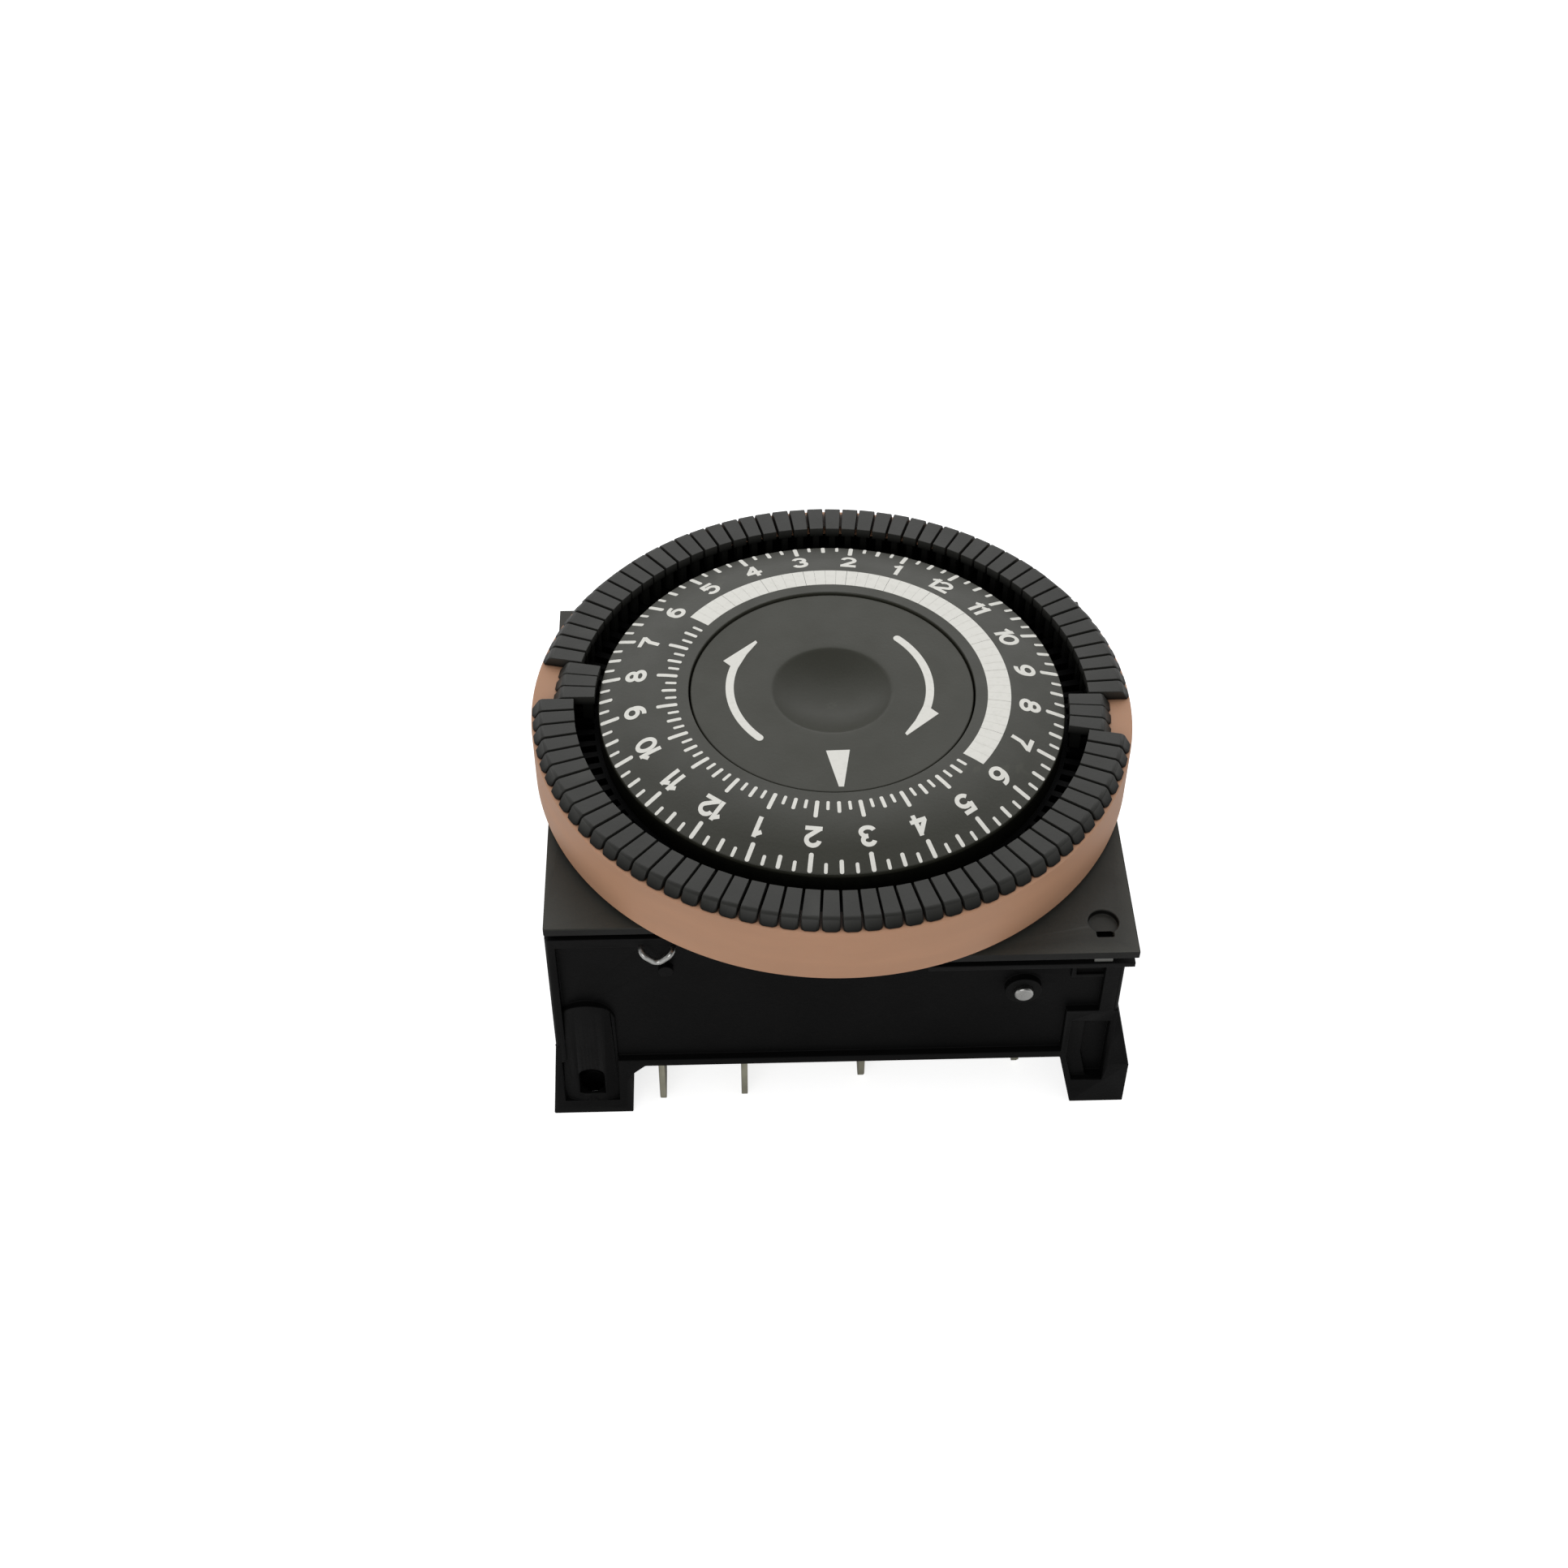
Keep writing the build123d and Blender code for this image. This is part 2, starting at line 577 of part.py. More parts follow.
def terminal_slots():
    """Slots in the floor for the terminals' necks."""
    slots = Part()
    for x, front in TERMINALS_AT.values():
        half_sheet = SHEET / 2 + FIT
        neck_front, neck_back = neck_span(front)
        slots += block(
            (x - half_sheet, x + half_sheet),
            (neck_front - FIT, neck_back + FIT),
            (FOOT_HEIGHT - FIT, FLOOR_TOP + FIT),
        )
    return slots


def inner_bosses():
    """Screw bosses for the top plate and the gear plate, and the rib behind the lever."""
    bosses = Part()
    for at in PLATE_SCREWS_AT:
        bosses += bar(BOSS_R, FLOOR_TOP, BODY_TOP, at)
    for at in GEAR_PLATE_SCREWS_AT:
        bosses += bar(BOSS_R, FLOOR_TOP, GEAR_PLATE_Z, at)
    rib_front = LEVER_Y + LEVER_WIDTH / 2 + RIB_GAP
    bosses += block(
        (LEVER_X - LEVER_BOSS_R, LEVER_X + LEVER_BOSS_R),
        (rib_front, rib_front + RIB_THICKNESS),
        (FLOOR_TOP, LEVER_PIN_Z + LEVER_BOSS_R),
    )
    x, z = FRONT_SCREW_X, FRONT_SCREW_Z
    bosses += bar_along_y(FRONT_BOSS_R, x, z, BODY_FRONT, WALL_INSIDE + FRONT_SCREW_LENGTH - FRONT_WALL)
    bosses += bar_along_y(PEG_R, LEVER_X, PEG_Z, BODY_FRONT, PANEL_FRONT)
    return bosses


def inner_holes():
    """Pilot holes, the lever pin's holes and the wire spring's holes."""
    holes = Part()
    for at in PLATE_SCREWS_AT:
        holes += bar(PILOT_R, PLATE_TOP - PLATE_SCREW_LENGTH - PLAY, BODY_TOP, at)
    for at in GEAR_PLATE_SCREWS_AT:
        holes += bar(PILOT_R, GEAR_PLATE_TOP - PLATE_SCREW_LENGTH - PLAY, GEAR_PLATE_Z, at)
    pin_front, pin_back = lever_pin_span()
    holes += bar_along_y(LEVER_PIN_R, LEVER_X, LEVER_PIN_Z, pin_front, pin_back)
    for side in (-1, 1):
        x = LEVER_X + WIRE_SHIFT + side * WIRE_HALF_WIDTH
        holes += bar_along_y(WIRE_R + FIT, x, WIRE_TOP_Z, BODY_FRONT, WALL_INSIDE)
    x, z = FRONT_SCREW_X, FRONT_SCREW_Z
    holes += bar_along_y(PILOT_R, x, z, BODY_FRONT, BODY_FRONT + FRONT_SCREW_LENGTH)
    return holes


def housing_base():
    shell = block(
        (-BODY_LEFT, BODY_RIGHT), (-BODY_HALF_DEPTH, BODY_HALF_DEPTH), (FOOT_HEIGHT, BODY_TOP)
    )
    shell = fillet(shell.edges().filter_by(Axis.Z), CORNER_R)
    shell -= front_panel_cut()
    shell -= corner_bay_cut()
    shell += nose_flange()
    shell -= nose_gap_cut()
    feet = screw_foot() + tall_foot() - flare_cut()
    shell += feet + half_turn(feet)
    shell -= column_bed_cut()
    shell += screw_column()
    shell -= screw_niche() + half_turn(screw_niche())
    shell -= tall_foot_pocket() + half_turn(tall_foot_pocket())
    shell -= block(
        (-BODY_LEFT + WALL, BODY_RIGHT - WALL),
        (WALL_INSIDE, BODY_HALF_DEPTH - WALL),
        (FLOOR_TOP, BODY_TOP + FIT),
    )
    return shell + inner_bosses() - inner_holes() - terminal_slots()


# Top plate and its fastenings
def lever_window():
    """Window in the top plate for the lever's nose."""
    half_width = LEVER_ARM / 2 + LEVER_SWING + PLAY
    half_length = LEVER_WIDTH / 2 + PLAY
    return block(
        (NOSE_X - half_width, NOSE_X + half_width),
        (LEVER_Y - half_length, LEVER_Y + half_length),
        (BODY_TOP - FIT, PLATE_TOP + FIT),
    )


def top_plate():
    low = BODY_TOP
    step = PLATE_TOP - PLATE_EDGE
    plate = Part()
    for inset, span in ((0, (step, PLATE_TOP)), (PLATE_REBATE, (low, step))):
        layer = block(
            (-BODY_LEFT + inset, BODY_RIGHT - inset),
            (-BODY_HALF_DEPTH + inset, BODY_HALF_DEPTH - inset),
            span,
        )
        layer += block((NOSE_LEFT + inset, BODY_RIGHT - inset), (NOSE_FRONT + inset, 0), span)
        plate += layer
    plate -= bar(POST_R + FIT, low - FIT, PLATE_TOP + FIT)
    plate -= bar(SHAFT_R + RUN, low - FIT, PLATE_TOP + FIT, SHAFT_AT)
    for at in PLATE_SCREWS_AT:
        plate -= bar(PILOT_R + FIT, low - FIT, PLATE_TOP, at)
        plate -= bar(HEAD_R + FIT, PLATE_TOP - HEAD_HEIGHT, PLATE_TOP + FIT, at)
    plate -= lever_window()
    recess_at = (BODY_RIGHT - RECESS_FROM_SIDE, NOSE_FRONT + RECESS_FROM_FRONT)
    plate -= bar(RECESS_R, PLATE_TOP - RECESS_DEPTH, PLATE_TOP + FIT, recess_at)
    window_front = recess_at[1] - RECESS_R - WINDOW_LEAD
    plate -= block(
        (recess_at[0] - WINDOW_WIDTH / 2, recess_at[0] + WINDOW_WIDTH / 2),
        (window_front, window_front + WINDOW_LENGTH),
        (low - FIT, PLATE_TOP + FIT),
    )
    return plate


def plate_clip():
    """Small clip that is seen in the gap under the plate's nose."""
    middle = BODY_RIGHT - RECESS_FROM_SIDE
    front = NOSE_FRONT + FLANGE_SETBACK + PLAY
    return block(
        (middle - CLIP_WIDTH / 2, middle + CLIP_WIDTH / 2),
        (front, front + CLIP_LENGTH),
        (BODY_TOP - FLANGE_GAP, BODY_TOP),
    )


def screw(at, seat, length):
    """Pan-head screw with a cross slot, its head standing on the seat."""
    head_top = seat + HEAD_HEIGHT
    body = bar(HEAD_R, seat, head_top, at) + bar(PILOT_R, seat + HEAD_HEIGHT - length, seat, at)
    for across, along in ((CROSS_REACH, CROSS_HALF_WIDTH), (CROSS_HALF_WIDTH, CROSS_REACH)):
        body -= block(
            (at[0] - across, at[0] + across),
            (at[1] - along, at[1] + along),
            (head_top - CROSS_DEPTH, head_top + FIT),
        )
    return body


def plate_screws():
    return [screw(at, PLATE_TOP - HEAD_HEIGHT, PLATE_SCREW_LENGTH) for at in PLATE_SCREWS_AT]


def gear_plate_screws():
    return [screw(at, GEAR_PLATE_TOP, PLATE_SCREW_LENGTH) for at in GEAR_PLATE_SCREWS_AT]


def front_screw():
    x, z = FRONT_SCREW_X, FRONT_SCREW_Z
    head = bar_along_y(FRONT_SCREW_R, x, z, BODY_FRONT - FRONT_SCREW_HEAD, BODY_FRONT)
    head = fillet(head.edges().group_by(Axis.Y)[0], FRONT_SCREW_HEAD / 2)
    return head + bar_along_y(PILOT_R, x, z, BODY_FRONT, BODY_FRONT + FRONT_SCREW_LENGTH)


# Dial
def dial_post():
    post = bar(POST_FLANGE_R, BODY_TOP - POST_FLANGE_THICKNESS, BODY_TOP)
    post += bar(POST_R, BODY_TOP, NECK_BASE)
    return post + bar(POST_NECK_R, NECK_BASE, dimple_floor() - 2 * FIT - PLAY)


def dimple_floor():
    return DISC_TOP - DIMPLE_DEPTH


def post_clip():
    """Ring that keeps the dial wheel on its post, with an open side."""
    ring = tube(CLIP_RING_R, POST_NECK_R + FIT, NECK_BASE, DISC_SEAT)
    mouth = POST_NECK_R - PLAY
    return ring - block((0, CLIP_RING_R), (-mouth, mouth), (NECK_BASE, DISC_SEAT))


def centre_disc():
    """Fixed disc with the pointer, hollowed by a finger dimple."""
    disc = bar(FACE_HOLE_R - DISC_GAP, DISC_TOP - DISC_THICKNESS, DISC_TOP)
    disc += bar(DISC_BOSS_R, DISC_SEAT, DISC_TOP - DISC_THICKNESS)
    ball_r = (DIMPLE_R ** 2 + DIMPLE_DEPTH ** 2) / (2 * DIMPLE_DEPTH)
    disc -= Pos(0, 0, dimple_floor() + ball_r) * Sphere(ball_r)
    return disc - bar(POST_NECK_R + FIT, DISC_SEAT, dimple_floor() - PLAY)


def dial_ring():
    return turned(
        (RING_R - RING_WALL, RING_BASE),
        (RING_R, RING_BASE),
        (RING_R, RING_TOP),
        (LEDGE_R, RING_TOP),
        (LEDGE_R, RING_TOP - LEDGE_THICKNESS),
        (RING_R - RING_WALL, RING_TOP - LEDGE_THICKNESS),
    )


def tripper_carrier():
    """Ring under the trippers, with one radial slot for each stem."""
    outer = RING_R - RING_WALL - FIT
    shoulder = LEDGE_R - FIT
    carrier = turned(
        (CARRIER_R, CARRIER_BASE),
        (outer, CARRIER_BASE),
        (outer, RING_TOP - LEDGE_THICKNESS),
        (shoulder, RING_TOP - LEDGE_THICKNESS),
        (shoulder, GROOVE_FLOOR),
        (CARRIER_R, GROOVE_FLOOR),
    )
    slot_inner = STEM_INNER_R - TRIPPER_TRAVEL - PLAY / 2
    slot_outer = STEM_INNER_R + STEM_LENGTH + PLAY / 2
    slot = Pos((slot_inner + slot_outer) / 2, 0) * Rectangle(slot_outer - slot_inner, SLOT_WIDTH)
    first = DIAL_TURN + PITCH_ANGLE / 2
    slots = [Rot(0, 0, first + PITCH_ANGLE * k) * slot for k in range(TRIPPER_COUNT)]
    return carrier - Pos(0, 0, CARRIER_BASE) * extrude(Sketch() + slots, GROOVE_FLOOR - CARRIER_BASE)


def dial_wheel():
    """Hub, web and gear rim that carry the dial."""
    wheel = bar(CARRIER_R - FIT, WEB_BASE, WEB_TOP) + bar(HUB_R, HUB_BASE, HUB_TOP)
    gear = spur_gear(DIAL_TEETH, DIAL_MODULE, CARRIER_BASE, WEB_BASE, (0, 0))
    rim_inner = DIAL_MODULE * (DIAL_TEETH / 2 - DEDENDUM) - DIAL_RIM
    wheel += gear - bar(rim_inner, CARRIER_BASE, WEB_BASE)
    return wheel - bar(POST_R + RUN, HUB_BASE, HUB_TOP)


def dial_face():
    """Number ring: a shallow cone with a flat inner border and a skirt down to the web."""
    skirt_inner = FACE_R - FACE_SKIRT
    slope = FACE_RISE / (FACE_R - FACE_FLAT_R)
    under_rim = FACE_RIM + slope * FACE_SKIRT - FACE_THICKNESS
    return turned(
        (FACE_R, WEB_TOP),
        (FACE_R, FACE_RIM),
        (FACE_FLAT_R, FACE_TOP),
        (FACE_HOLE_R, FACE_TOP),
        (FACE_HOLE_R, FACE_TOP - FACE_THICKNESS),
        (FACE_FLAT_R, FACE_TOP - FACE_THICKNESS),
        (skirt_inner, under_rim),
        (skirt_inner, WEB_TOP),
    )


def tripper_half_width(radius):
    return radius * tan(radians(PITCH_ANGLE / 2)) - TRIPPER_GAP / 2


def tripper():
    """One tripper on the +X side, pulled out."""
    inner, outer = TRIPPER_INNER_R, TRIPPER_OUTER_R
    neck = outer - TIP_LENGTH
    at_inner, at_neck = tripper_half_width(inner), tripper_half_width(neck)
    plan = [
        (inner, -at_inner),
        (neck, -at_neck),
        (outer, -TIP_HALF_WIDTH),
        (outer, TIP_HALF_WIDTH),
        (neck, at_neck),
        (inner, at_inner),
    ]
    head = extrude(make_face(Polyline(*plan, close=True)), TRIPPER_HEIGHT)
    head = Pos(0, 0, TRIPPER_BASE) * head
    top = TRIPPER_BASE + TRIPPER_HEIGHT
    side = [(inner, TRIPPER_BASE), (outer, TRIPPER_BASE), (outer - TIP_SLOPE, top), (inner, top)]
    head = head & front_profile(side, -at_neck, at_neck)
    stem = block(
        (STEM_INNER_R, STEM_INNER_R + STEM_LENGTH),
        (-STEM_WIDTH / 2, STEM_WIDTH / 2),
        (STEM_END, TRIPPER_BASE),
    )
    return head + stem


def tripper_at(shape, number, pushed_in):
    shift = -TRIPPER_TRAVEL if pushed_in else 0
    return Rot(0, 0, DIAL_TURN + PITCH_ANGLE * (number + 0.5)) * Pos(shift, 0, 0) * shape


def trippers():
    """Six trippers that are pushed in, and the two banks between them that are not."""
    shape = tripper()
    nodes = {}
    for name, first in (("tripper_pm", PM_FIRST_INDEX), ("tripper_am", AM_FIRST_INDEX)):
        for i in range(SET_COUNT):
            nodes[f"{name}_{i + 1}"] = tripper_at(shape, first + i, True)
    rear = range(AM_FIRST_INDEX + SET_COUNT - TRIPPER_COUNT, PM_FIRST_INDEX)
    front = range(PM_FIRST_INDEX + SET_COUNT, AM_FIRST_INDEX)
    nodes["trippers_rear_bank"] = [tripper_at(shape, k, False) for k in rear]
    nodes["trippers_front_bank"] = [tripper_at(shape, k, False) for k in front]
    return nodes


# Drive train
def drive_shaft():
    """Shaft with the pinion that turns the dial and the flange that the clutch wheel rides on."""
    shaft = bar(SHAFT_PIVOT_R, GEAR_PLATE_Z, GEAR_PLATE_TOP + PLAY, SHAFT_AT)
    shaft += bar(SHAFT_R, GEAR_PLATE_TOP + PLAY, PINION_BASE, SHAFT_AT)
    flange_top = CLUTCH_BASE - RUN
    shaft += bar(SHAFT_FLANGE_R, flange_top - SHAFT_FLANGE_THICKNESS, flange_top, SHAFT_AT)
    turn = meshed_turn(PINION_TEETH, DIAL_TEETH, 0, SHAFT_BEARING)
    return shaft + spur_gear(PINION_TEETH, DIAL_MODULE, PINION_BASE, PINION_TOP, SHAFT_AT, turn)


def clutch_wheel():
    wheel = spur_gear(CLUTCH_TEETH, TRAIN_MODULE, CLUTCH_BASE, CLUTCH_TOP, SHAFT_AT)
    return wheel - bar(SHAFT_R + RUN, CLUTCH_BASE, CLUTCH_TOP, SHAFT_AT)


def clutch_spring():
    """Dished spring washer that presses the clutch wheel on its flange."""
    inner = SHAFT_R + RUN
    top = SPRING_BASE + SPRING_RISE
    washer = turned(
        (inner, top),
        (SPRING_R, SPRING_BASE),
        (SPRING_R, SPRING_BASE + SPRING_THICKNESS),
        (inner, top + SPRING_THICKNESS),
    )
    return Pos(*SHAFT_AT, 0) * washer


def clutch_collar():
    return tube(COLLAR_R, SHAFT_R + FIT, COLLAR_BASE, COLLAR_BASE + COLLAR_LENGTH, SHAFT_AT)


def idler_gear():
    """Wheel with a pinion on top, both in mesh."""
    pinion_turn = meshed_turn(PINION_TEETH, CLUTCH_TEETH, 0, IDLER_BEARING)
    wheel_top = IDLER_BASE + GEAR_FACE
    gear = spur_gear(IDLER_TEETH, TRAIN_MODULE, IDLER_BASE, wheel_top, IDLER_AT)
    gear += spur_gear(PINION_TEETH, TRAIN_MODULE, wheel_top, IDLER_TOP, IDLER_AT, pinion_turn)
    return gear - bar(AXLE_R + RUN, IDLER_BASE, IDLER_TOP, IDLER_AT)


def idler_axle():
    return bar(AXLE_R, GEAR_PLATE_Z, IDLER_TOP + PLAY, IDLER_AT)


def output_pinion():
    """Motor's output shaft with its pinion."""
    turn = meshed_turn(PINION_TEETH, IDLER_TEETH, 0, OUTPUT_BEARING)
    shaft = bar(OUTPUT_R, GEARBOX_BASE + PLAY, IDLER_BASE, OUTPUT_AT)
    return shaft + spur_gear(PINION_TEETH, TRAIN_MODULE, IDLER_BASE, IDLER_BASE + GEAR_FACE, OUTPUT_AT, turn)


def gear_plate():
    plate = block(
        (-GEAR_PLATE_HALF_WIDTH, GEAR_PLATE_HALF_WIDTH),
        (GEAR_PLATE_FRONT, GEAR_PLATE_BACK),
        (GEAR_PLATE_Z, GEAR_PLATE_TOP),
    )
    holes = [(SHAFT_PIVOT_R + RUN, SHAFT_AT), (AXLE_R + FIT, IDLER_AT), (OUTPUT_R + PLAY, OUTPUT_AT)]
    holes += [(PILOT_R + FIT, at) for at in GEAR_PLATE_SCREWS_AT]
    for radius, at in holes:
        plate -= bar(radius, GEAR_PLATE_Z - FIT, GEAR_PLATE_TOP + FIT, at)
    return plate


# Motor
def motor_can():
    can = bar(MOTOR_R, MOTOR_BASE, GEARBOX_BASE, MOTOR_AT)
    can -= bar(MOTOR_R - MOTOR_WALL, MOTOR_BASE + MOTOR_WALL, GEARBOX_BASE, MOTOR_AT)
    for exit_at in lead_exits():
        can -= bar_along_lead(LEAD_R + FIT, exit_at)
    return can - bar(ROTOR_SHAFT_R + RUN, MOTOR_BASE, MOTOR_BASE + MOTOR_WALL, MOTOR_AT)


def motor_coil():
    low = MOTOR_BASE + MOTOR_WALL
    return tube(MOTOR_R - MOTOR_WALL - COIL_GAP, COIL_INNER_R, low, GEARBOX_BASE - COIL_GAP, MOTOR_AT)


def motor_rotor():
    low = MOTOR_BASE + MOTOR_WALL + ROTOR_GAP
    high = GEARBOX_BASE - ROTOR_GAP
    return bar(ROTOR_R, low, high, MOTOR_AT) + bar(
        ROTOR_SHAFT_R, MOTOR_BASE, GEARBOX_BASE + ROTOR_GAP, MOTOR_AT
    )


def motor_gearbox():
    """Closed block that holds the motor's own reduction."""
    box = bar(MOTOR_R, GEARBOX_BASE, GEAR_PLATE_Z, MOTOR_AT)
    box -= bar(ROTOR_SHAFT_R + RUN, GEARBOX_BASE, GEARBOX_BASE + ROTOR_GAP + PLAY, MOTOR_AT)
    return box - bar(OUTPUT_R + RUN, GEARBOX_BASE + PLAY / 2, GEAR_PLATE_Z, OUTPUT_AT)


def lead_terminals():
    """Plan points of the two terminals that feed the motor, at their necks."""
    ends = (TERMINALS_AT["terminal_line"], TERMINALS_AT["terminal_neutral"])
    return [(x, sum(neck_span(front)) / 2) for x, front in ends]


def lead_exits():
    """Where each lead leaves the motor: point on the can and its direction in plan."""
    exits = []
    for x, y in lead_terminals():
        reach = Vector(x - MOTOR_AT[0], y - MOTOR_AT[1])
        exits.append((MOTOR_AT, reach.normalized()))
    return exits


def bar_along_lead(radius, exit_at):
    """Round bar through the can's wall along a lead."""
    (x, y), direction = exit_at
    start = Vector(x, y, LEAD_Z) + direction * (MOTOR_R - 2 * MOTOR_WALL)
    return extrude(Plane(start, z_dir=direction) * Circle(radius), 3 * MOTOR_WALL)


def motor_leads():
    """Two insulated leads from the coil to the motor's terminals."""
    leads = []
    for (x, y), (start_at, direction) in zip(lead_terminals(), lead_exits()):
        start = Vector(start_at[0], start_at[1], LEAD_Z) + direction * (MOTOR_R - MOTOR_WALL - COIL_GAP)
        corner = Vector(x, y, LEAD_Z)
        end = Vector(x, y, LEAD_TERMINAL_TOP)
        leads.append(wire([start, corner, end], LEAD_R, LEAD_BEND))
    return leads


# Terminals and switch
def neck_span(front):
    """Front and back edge of a terminal's neck, from its blade's front edge."""
    back = front + TAB_WIDTH
    return back - TAB_NECK, back


def terminal(name, top):
    """Blade terminal with a pointed tip and a neck through the floor up to a height."""
    x, front = TERMINALS_AT[name]
    neck_front, back = neck_span(front)
    middle = front + TAB_WIDTH / 2
    half_tip = TAB_TIP_WIDTH / 2
    shoulder = TAB_TIP_Z + TAB_TIP_LENGTH
    outline = [
        (middle - half_tip, TAB_TIP_Z),
        (middle + half_tip, TAB_TIP_Z),
        (back, shoulder),
        (back, top),
        (neck_front, top),
        (neck_front, FOOT_HEIGHT),
        (front, FOOT_HEIGHT),
        (front, shoulder),
    ]
    face = make_face(Polyline(*outline, close=True))
    return extrude(Plane.YZ.offset(x - SHEET / 2) * face, SHEET)


def contact_arm(name, low, strip_to, top):
    """Strip that runs sideways from a terminal's neck and then stands up."""
    x, front = TERMINALS_AT[name]
    depth = neck_span(front)
    strip = block((strip_to - SHEET / 2, x + SHEET / 2), depth, (low, low + SHEET))
    return strip + block((strip_to - SHEET / 2, strip_to + SHEET / 2), depth, (low, top))


def nc_face():
    """Face of the closed contact's arm, towards the blade."""
    return TERMINALS_AT["terminal_nc"][0] + SHEET / 2


def no_face():
    """Face of the open contact's arm, towards the blade."""
    return BLADE_X + BLADE_THICKNESS / 2 + CONTACT_LENGTH + CONTACT_OPEN_GAP + FIXED_CONTACT_LENGTH


def terminals():
    common_arm = contact_arm(
        "terminal_common", COMMON_STRIP_Z, BLADE_X + BLADE_THICKNESS / 2 + SHEET / 2, BLADE_ROOT_Z
    )
    no_arm = contact_arm("terminal_no", NO_STRIP_Z, no_face() + SHEET / 2, CONTACT_ARM_TOP)
    return {
        "terminal_nc": terminal("terminal_nc", CONTACT_ARM_TOP),
        "terminal_common": terminal("terminal_common", COMMON_STRIP_Z) + common_arm,
        "terminal_no": terminal("terminal_no", NO_STRIP_Z) + no_arm,
        "terminal_line": terminal("terminal_line", LEAD_TERMINAL_TOP),
        "terminal_neutral": terminal("terminal_neutral", LEAD_TERMINAL_TOP),
    }


def contact_blade():
    half = BLADE_THICKNESS / 2
    half_width = LEVER_WIDTH / 2
    blade = block(
        (BLADE_X - half, BLADE_X + half),
        (LEVER_Y - half_width, LEVER_Y + half_width),
        (BLADE_ROOT_Z, BLADE_TOP_Z),
    )
    return blade - bar_along_x(CONTACT_R / 2, LEVER_Y, CONTACT_Z, BLADE_X - half, BLADE_X + half)


def moving_contact():
    """Double rivet through the blade."""
    half = BLADE_THICKNESS / 2
    rivet = bar_along_x(CONTACT_R / 2, LEVER_Y, CONTACT_Z, BLADE_X - half, BLADE_X + half)
    for side in (-1, 1):
        ends = sorted((BLADE_X + side * half, BLADE_X + side * (half + CONTACT_LENGTH)))
        rivet += bar_along_x(CONTACT_R, LEVER_Y, CONTACT_Z, *ends)
    return rivet


def fixed_contacts():
    """Contact points on the closed and the open arm."""
    closed_end = BLADE_X - BLADE_THICKNESS / 2 - CONTACT_LENGTH - CONTACT_REST_GAP
    return [
        bar_along_x(CONTACT_R, LEVER_Y, CONTACT_Z, nc_face(), closed_end),
        bar_along_x(CONTACT_R, LEVER_Y, CONTACT_Z, no_face() - FIXED_CONTACT_LENGTH, no_face()),
    ]


def lever_pin_span():
    """Front and back end of the lever's pin."""
    rib_front = LEVER_Y + LEVER_WIDTH / 2 + RIB_GAP
    return WALL_INSIDE - FRONT_RECESS / 2, rib_front + RIB_THICKNESS


def lever_pin():
    return bar_along_y(LEVER_PIN_R, LEVER_X, LEVER_PIN_Z, *lever_pin_span())


def switch_lever():
    """Rocker whose nose feels the trippers and whose foot bends the contact blade."""
    half_arm = LEVER_ARM / 2
    span = (LEVER_Y - LEVER_WIDTH / 2, LEVER_Y + LEVER_WIDTH / 2)
    foot_end = BLADE_X - BLADE_THICKNESS / 2 - PLAY
    cross_top = BODY_TOP - PLAY
    cross_base = cross_top - LEVER_ARM
    cross_ends = (min(LEVER_X, NOSE_X) - half_arm, max(LEVER_X, NOSE_X) + half_arm)
    lever = bar_along_y(LEVER_BOSS_R, LEVER_X, LEVER_PIN_Z, *span)
    lever += block((LEVER_X - half_arm, LEVER_X + half_arm), span, (LEVER_FOOT_Z, cross_top))
    lever += block(cross_ends, span, (cross_base, cross_top))
    lever += block((NOSE_X - half_arm, NOSE_X + half_arm), span, (cross_base, LEVER_TOP - half_arm))
    lever += bar_along_y(half_arm, NOSE_X, LEVER_TOP - half_arm, *span)
    lever += block(
        (LEVER_X - half_arm, foot_end), span, (LEVER_FOOT_Z, LEVER_FOOT_Z + LEVER_FOOT_HEIGHT)
    )
    return lever - bar_along_y(LEVER_PIN_R + RUN, LEVER_X, LEVER_PIN_Z, *span)


def lever_spring():
    """Bent wire that hooks out of the front wall and leans on the lever."""
    x = LEVER_X + WIRE_SHIFT
    inside = LEVER_Y - LEVER_WIDTH / 2 - PLAY
    outside = BODY_FRONT - WIRE_PROUD
    return wire(
        [
            (x - WIRE_HALF_WIDTH, inside, WIRE_TOP_Z),
            (x - WIRE_HALF_WIDTH, outside, WIRE_TOP_Z),
            (x, outside, WIRE_TOP_Z - WIRE_DROP),
            (x + WIRE_HALF_WIDTH, outside, WIRE_TOP_Z),
            (x + WIRE_HALF_WIDTH, inside, WIRE_TOP_Z),
        ],
        WIRE_R,
        WIRE_BEND,
    )


def all_nodes():
    singles = [
        housing_base, top_plate, plate_clip, plate_screws, front_screw, dial_post, post_clip, centre_disc,
        gear_plate, gear_plate_screws, idler_axle, motor_can, motor_coil, motor_rotor, motor_gearbox,
        motor_leads, fixed_contacts, lever_pin, lever_spring, switch_lever, contact_blade, moving_contact,
        dial_ring, tripper_carrier, dial_wheel, dial_face, drive_shaft, clutch_wheel, clutch_spring,
        clutch_collar, idler_gear, output_pinion,
    ]
    nodes = {make.__name__: make() for make in singles}
    return nodes | terminals() | trippers()


def write_parts():
    os.makedirs("parts", exist_ok=True)
    for name, shape in all_nodes().items():
        if isinstance(shape, list):
            shape = Compound(children=shape)
        export_step(shape, f"parts/{name}.step")


write_parts()
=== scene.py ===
"""Dressed time switch module on a pale studio floor, seen from the photograph's angle. Metres, +Z up."""
import bmesh
import bpy
import json
import random
from math import atan2, cos, hypot, pi, radians, sin, tan
from mathutils import Matrix, Vector


